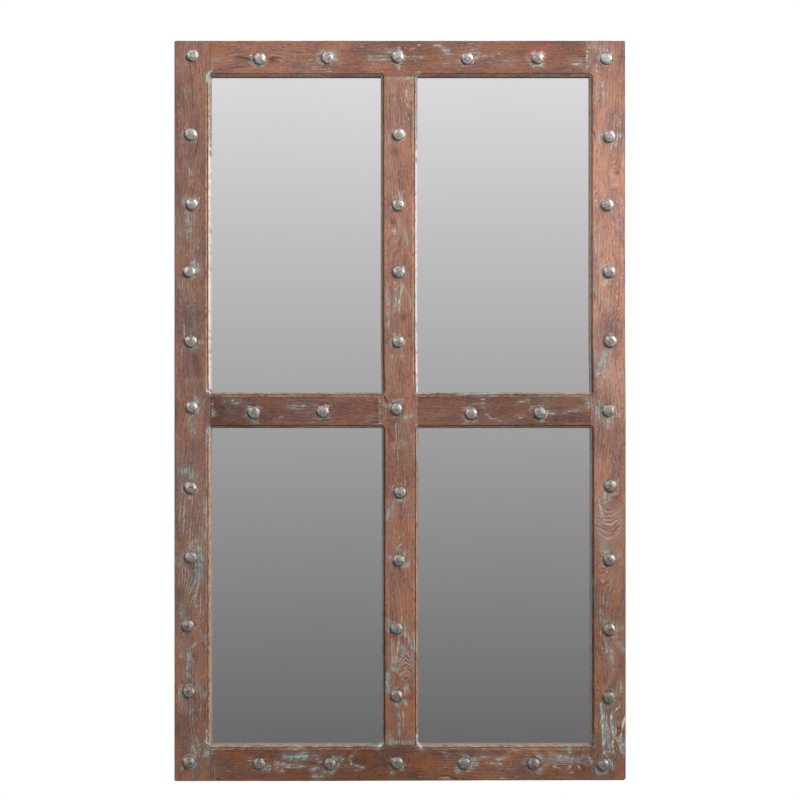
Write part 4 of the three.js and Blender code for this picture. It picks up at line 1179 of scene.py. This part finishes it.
# Painted shade on each dome: the tilt over which it comes in, its even share, its share low on the left, and
# its strength under the rim
STUD_SHADE_TILT, STUD_SHADE_EVEN, STUD_SHADE_LOW, UNDER_RIM_SHADE = (0.5, 1.15), 0.08, 1.15, 0.9
RAGGED_RIM = 0.012
HEIGHT_SHARES, WIDTH_SHARES = (0.9, 0.985), (0.97, 1.0)
UNDER_RINGS = ((0.4, 0.985), (0, 0.93))
PAINTED_STUDS = {"stud_right_01": (0.6, 0.0), "stud_mullion_08": (0.4, 0.25), "stud_top_05": (0.1, 0.2),
                 "stud_top_01": (0.0, 0.15), "stud_mullion_09": (0.0, 0.1), "stud_right_02": (0.4, 0.0),
                 "stud_left_01": (0.35, 0.0), "stud_left_08": (0.3, 0.0)}


def hammered_reach(ways, draw):
    """How far a hammered dome's skin lies from its middle, as a share of the radius, along each way."""
    reach = np.ones(ways.shape[:-1])
    for index in range(STUD_FLATS + STUD_DENTS):
        tilt, turn = math.radians(draw.uniform(0, HIT_TILT_MOST)), draw.uniform(0, 2 * math.pi)
        hit = np.array([math.sin(tilt) * math.cos(turn), math.sin(tilt) * math.sin(turn), math.cos(tilt)])
        facing = np.clip(ways @ hit, LEAST_FACING, 1)
        if index < STUD_FLATS:
            reach = np.minimum(reach, draw.uniform(*FLAT_DEPTHS) / facing)
        else:
            depth = draw.uniform(*DENT_DEPTHS)
            reach = reach - depth * np.exp(-((np.arccos(facing) / draw.uniform(*DENT_REACHES)) ** 2))
    return reach


def build_stud(name, seed):
    """One hammered dome on a ragged rim, closed underneath."""
    draw = np.random.default_rng(seed)
    centre_x, centre_z = STUD_PLACES[name]
    dome_height = (STUD_BASE_Y - STUD_TOP_Y) * draw.uniform(*HEIGHT_SHARES) - RIM_HEIGHT
    radius = STUD_RADIUS * draw.uniform(*WIDTH_SHARES)
    tilt = np.linspace(0, math.pi / 2, STUD_ROWS + 1)[1:, None]
    turn = np.linspace(0, 2 * math.pi, STUD_COLUMNS, endpoint=False)[None, :]
    ways = [np.sin(tilt) * np.cos(turn), np.sin(tilt) * np.sin(turn), np.cos(tilt) + 0 * turn]
    ways = np.stack(ways, axis=-1)
    reach = hammered_reach(ways, draw)
    sizes = draw.uniform(-1, 1, RIM_WAVES)
    waves = sum(size * np.sin(count * turn + 5 * size) for count, size in enumerate(sizes, 2))
    across = radius * np.minimum(1 + RAGGED_RIM * waves, 1) * reach
    dome = np.stack([centre_x + across * ways[..., 0],
                     STUD_BASE_Y - RIM_HEIGHT - dome_height * reach * ways[..., 2],
                     centre_z + across * ways[..., 1]], axis=-1)
    centre = np.array([centre_x, 0, centre_z])
    under = []
    for height, share in UNDER_RINGS:
        ring = centre + (dome[-1] - centre) * [share, 0, share]
        ring[:, 1] = STUD_BASE_Y - RIM_HEIGHT * height
        under.append(ring)
    apex = [[centre_x, dome[0, :, 1].mean() - APEX_RISE, centre_z]]
    points = np.concatenate([apex, dome.reshape(-1, 3), *under])
    mesh = bpy.data.meshes.new(name + "_head")
    mesh.from_pydata(points.tolist(), [], turned_faces(STUD_ROWS + 1, STUD_COLUMNS))

    # Painted shade low on the left and under the rim, paint and red over the whole head
    low_left = np.clip(-0.6 * ways[..., 0] - 0.8 * ways[..., 1], 0, 1)
    stud_shade = smooth(tilt, *STUD_SHADE_TILT) * (STUD_SHADE_EVEN + STUD_SHADE_LOW * low_left)
    dirt_and_shade = np.concatenate([[0], np.clip(stud_shade, 0, 1).ravel(), np.full(2 * STUD_COLUMNS, UNDER_RIM_SHADE)])
    paint, red = PAINTED_STUDS.get(name, (0, 0))
    add_layer(mesh, "marks", [np.full(len(points), paint), np.full(len(points), red), dirt_and_shade])
    return finish_mesh(mesh, name + "_head", sharp_degrees=60)


iron = iron_material()
for index, name in enumerate(STUD_PLACES):
    stud = build_stud(name, STUD_SEED + index)
    stud.data.materials.append(iron)
    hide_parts(name)
    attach(stud, "frame_body")


# The sheets and the fittings keep their solids and get their finish
def refinish(name, material):
    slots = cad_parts[name].data.materials
    slots.clear()
    slots.append(material)


refinish("mirror_sheet", mirror_material())
refinish("back_panel", plywood_material())
zinc = zinc_material()
rubber = rubber_material()
for side in ("left", "right"):
    refinish(side + "_hanger_strap", zinc)
    refinish(side + "_hanger_ring", zinc)
    refinish(side + "_bumper", rubber)


# Small fasteners on the back: screws in the straps, and plates that hold the back panel in
SCREW_RADIUS = 3.4 * MM
SCREW_HEIGHT, SCREW_FALL = 1.7 * MM, 0.55
SCREW_ROWS = (0.1, 0.22, 0.34, 0.46, 0.6, 0.74, 0.86, 0.95, 1)
SCREW_COLUMNS = 32
RECESS_REACH = 0.6
RECESS_HALF_WIDTH = 0.42 * MM
RECESS_DEPTH = 0.9 * MM
PLATE_LENGTH, PLATE_WIDTH, PLATE_THICKNESS = 24 * MM, 10 * MM, 1.2 * MM
PLATE_BEVEL = 0.3 * MM
PLATE_END_POINTS = 13
PLATE_OVERLAP = 8 * MM
PLATE_HEIGHTS = (-0.56, -0.19, 0.19, 0.56)
PLATE_PLACES = (-0.2, 0.2)
SEAT = 0.05 * MM
STRAP_LENGTH = 42 * MM
STRAP_BACK_Y = 2.7 * MM
STRAP_SCREW_SHARES = (0.3, 0.82)
RING_AXIS_HEIGHT = FRAME_HALF_HEIGHT * 0.5


def screw_head(x, z, seat_y, turn):
    """A pan head with a cross recess: rows of points from the middle outwards, and its faces."""
    cos, sin = math.cos(turn), math.sin(turn)
    turns = np.linspace(0, 2 * math.pi, SCREW_COLUMNS, endpoint=False)
    points = [(x, seat_y + SCREW_HEIGHT - RECESS_DEPTH, z)]
    for share in SCREW_ROWS:
        for way in turns:
            right, up = share * SCREW_RADIUS * math.cos(way), share * SCREW_RADIUS * math.sin(way)
            height = SCREW_HEIGHT * (1 - SCREW_FALL * share**4)
            if share < RECESS_REACH and min(abs(right), abs(up)) < RECESS_HALF_WIDTH:
                height -= RECESS_DEPTH
            points.append((x + right * cos - up * sin, seat_y + height, z + right * sin + up * cos))
    for way in turns + turn:
        points.append((x + SCREW_RADIUS * math.cos(way), seat_y, z + SCREW_RADIUS * math.sin(way)))
    return points, turned_faces(len(SCREW_ROWS), SCREW_COLUMNS)


def retaining_plate(x, z, inward_x, inward_z):
    """A flat plate with round ends that reaches from the frame onto the panel."""
    half = PLATE_LENGTH / 2 - PLATE_WIDTH / 2
    rings = ((SEAT, 0), (SEAT + PLATE_THICKNESS - PLATE_BEVEL, 0), (SEAT + PLATE_THICKNESS, PLATE_BEVEL))
    points = []
    for y, inset in rings:
        radius = PLATE_WIDTH / 2 - inset
        for end, start in ((1, -90), (-1, 90)):
            for way in np.radians(start + np.linspace(0, 180, PLATE_END_POINTS)):
                ahead, aside = end * half + radius * math.cos(way), radius * math.sin(way)
                point_x = x + ahead * inward_x - aside * inward_z
                points.append((point_x, y, z + ahead * inward_z + aside * inward_x))
    count = len(points) // len(rings)
    return points, [tuple(range(count)), tuple(range(2 * count, 3 * count))] + ring_faces(2, count)


def fastener(name, parts):
    """One piece of zinc plated steel out of closed parts."""
    mesh = bpy.data.meshes.new(name)
    points, faces = [], []
    for part_points, part_faces in parts:
        faces += [tuple(len(points) + corner for corner in face) for face in part_faces]
        points += part_points
    mesh.from_pydata(points, [], faces)
    made = finish_mesh(mesh, name, sharp_degrees=35)
    made.data.materials.append(zinc)
    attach(made, "frame_body")


for side in ("left", "right"):
    low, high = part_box(side + "_hanger_strap")
    for number, share in enumerate(STRAP_SCREW_SHARES, 1):
        height = RING_AXIS_HEIGHT - share * STRAP_LENGTH
        head = screw_head((low.x + high.x) / 2, height, STRAP_BACK_Y, 0.4 + number)
        fastener(f"{side}_strap_screw_{number}", [head])

reach_out = PLATE_LENGTH / 2 - PLATE_OVERLAP
plates = [(sign * (PANEL_HIGH.x + reach_out), height, -sign, 0)
          for sign in (-1, 1) for height in PLATE_HEIGHTS]
plates += [(place, sign * (PANEL_HIGH.z + reach_out), 0, -sign)
           for sign in (-1, 1) for place in PLATE_PLACES]
for number, (x, z, inward_x, inward_z) in enumerate(plates, 1):
    screw_x, screw_z = x - inward_x * PLATE_LENGTH / 4, z - inward_z * PLATE_LENGTH / 4
    head = screw_head(screw_x, screw_z, SEAT + PLATE_THICKNESS, 0.7 * number)
    fastener(f"panel_retainer_{number:02d}", [retaining_plate(x, z, inward_x, inward_z), head])


# Camera: where the photograph was taken from
CAMERA_DISTANCE = 4.5
PERSPECTIVE_X_PIXEL = 470
PERSPECTIVE_Y_PIXEL = PHOTO_SIZE / 2
SENSOR_WIDTH = 36
CLIP_END = 60


def photo_camera():
    """A camera that looks straight back at the wall, shifted as the photograph's framing needs."""
    data = bpy.data.cameras.new("photo_camera")
    data.sensor_width = SENSOR_WIDTH
    data.lens = SENSOR_WIDTH * CAMERA_DISTANCE / (PHOTO_SIZE * PIXEL)
    data.shift_x = (PHOTO_SIZE / 2 - PERSPECTIVE_X_PIXEL) / PHOTO_SIZE
    data.clip_end = CLIP_END
    camera = add_object("photo_camera", data)
    x, z = photo_place(PERSPECTIVE_X_PIXEL, PERSPECTIVE_Y_PIXEL)
    camera.location = (x, FACE_Y - CAMERA_DISTANCE, z)
    camera.rotation_euler = (math.pi / 2, 0, 0)
    return camera


# Lamps: place, what they point at, size, power and colour
LAMPS = [
    ("key_right", (0.7, -2.0, 1.2), (0.6, 0, 0.6), 0.4, 42, (1, 0.985, 0.96)),
    ("fill_behind", (-1.2, 2.4, 1.2), (0, 0, 0), 1.2, 45, (1, 1, 1)),
]


def area_lamp(name, place, aim, size, power, colour):
    """A square lamp that lights the object but isn't seen in its reflections."""
    data = bpy.data.lights.new(name, "AREA")
    data.size = size
    data.energy = power
    data.color = colour
    lamp = add_object(name, data)
    lamp.location = place
    lamp.rotation_euler = (Vector(aim) - Vector(place)).to_track_quat("-Z", "Y").to_euler()
    lamp.visible_glossy = False


# Surroundings: white to the camera, for the rest an even light that is stronger from the upper right,
# and in reflections a soft grey fall of light, less of it from high up, with a soft box at each side
WHITE = (1, 1, 1, 1)
AMBIENT, AMBIENT_LEAST = 0.46, 0.05
AMBIENT_LEAN = (0.6, 0.3, 0.5)
REFLECTED_MIDDLE, REFLECTED_RISE = 0.668, 1.56
REFLECTED_LEAST, REFLECTED_MOST = 0.4, 0.96
REFLECTED_GAMMA = 2.2
REFLECTED_TOP_LOSS, REFLECTED_TOP = 0.42, (0.2, 0.5)
SOFT_BOXES = [((0.9, 0, 0.36), 3.0), ((-0.85, 0, 0.45), 1.2), ((0, 0, -1.6), 0.3)]
SOFT_BOX_EDGE = (0.72, 0.87)


def by_ray(tree, ray, others, these):
    """One shader for the rays of a kind, and another for all others."""
    return node(tree, "MixShader", {0: node(tree, "LightPath", output=ray), 1: others, 2: these})


def studio_world():
    """The light of the surroundings, for the three kinds of ray that meet them."""
    world = bpy.data.worlds.new("studio")
    world.use_nodes = True
    sky = world.node_tree
    sky.nodes.clear()
    direction = node(sky, "TexCoord", output="Generated")
    height = split(direction)[2]

    def towards(way):
        return node(sky, "VectorMath", {0: direction, 1: way}, "Value", operation="DOT_PRODUCT")

    grey = most_of(height * REFLECTED_RISE + REFLECTED_MIDDLE, REFLECTED_LEAST)
    grey = maths("MINIMUM", grey, REFLECTED_MOST)
    glow = maths("POWER", grey, REFLECTED_GAMMA) - REFLECTED_TOP_LOSS * step(height, *REFLECTED_TOP)
    for way, strength in SOFT_BOXES:
        glow = glow + strength * step(towards(way), *SOFT_BOX_EDGE)
    even = most_of(towards(AMBIENT_LEAN) * AMBIENT + AMBIENT, AMBIENT_LEAST)
    ambient = node(sky, "Background", {0: WHITE, 1: even})
    reflected = node(sky, "Background", {0: WHITE, 1: glow})
    white = node(sky, "Background", {0: WHITE, 1: 1.0})
    lit = by_ray(sky, "Is Glossy Ray", ambient, reflected)
    seen = by_ray(sky, "Is Camera Ray", lit, white)
    feed(sky.nodes.new("ShaderNodeOutputWorld"), {0: seen})
    return world


# Floor, well below the hanging mirror
FLOOR_DROP = 0.9
FLOOR_HALF = 2.4
FLOOR_BACK = FLOOR_HALF * 0.8
FLOOR_WHITE = (0.86, 0.86, 0.86, 1)
FLOOR_LIFT = 0.35


def floor_material():
    """Pale and matt, lifted towards white for the camera, and left out of the mirror."""
    material, tree, shader = new_material("pale_floor")
    feed(shader, {"Base Color": FLOOR_WHITE, "Roughness": 0.9})
    surface = Field(shader.outputs[0])
    lift = node(tree, "Emission", {0: WHITE, 1: FLOOR_LIFT})
    raised = node(tree, "AddShader", {0: surface, 1: lift})
    clear = node(tree, "BsdfTransparent")
    to_camera = by_ray(tree, "Is Camera Ray", surface, raised)
    feed(tree.nodes["Material Output"], {"Surface": by_ray(tree, "Is Glossy Ray", to_camera, clear)})
    return material


def floor():
    mesh = bpy.data.meshes.new("floor")
    height = -FRAME_HALF_HEIGHT - FLOOR_DROP
    corners = [(-FLOOR_HALF, -FLOOR_HALF), (FLOOR_HALF, -FLOOR_HALF)]
    corners += [(FLOOR_HALF, FLOOR_BACK), (-FLOOR_HALF, FLOOR_BACK)]
    mesh.from_pydata([(x, y, height) for x, y in corners], [], [(0, 1, 2, 3)])
    mesh.materials.append(floor_material())
    return add_object("floor", mesh)


bpy.context.scene.camera = photo_camera()
for lamp in LAMPS:
    area_lamp(*lamp)
bpy.context.scene.world = studio_world()
floor()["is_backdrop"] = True
bpy.context.scene.view_settings.view_transform = "Standard"

low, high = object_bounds()
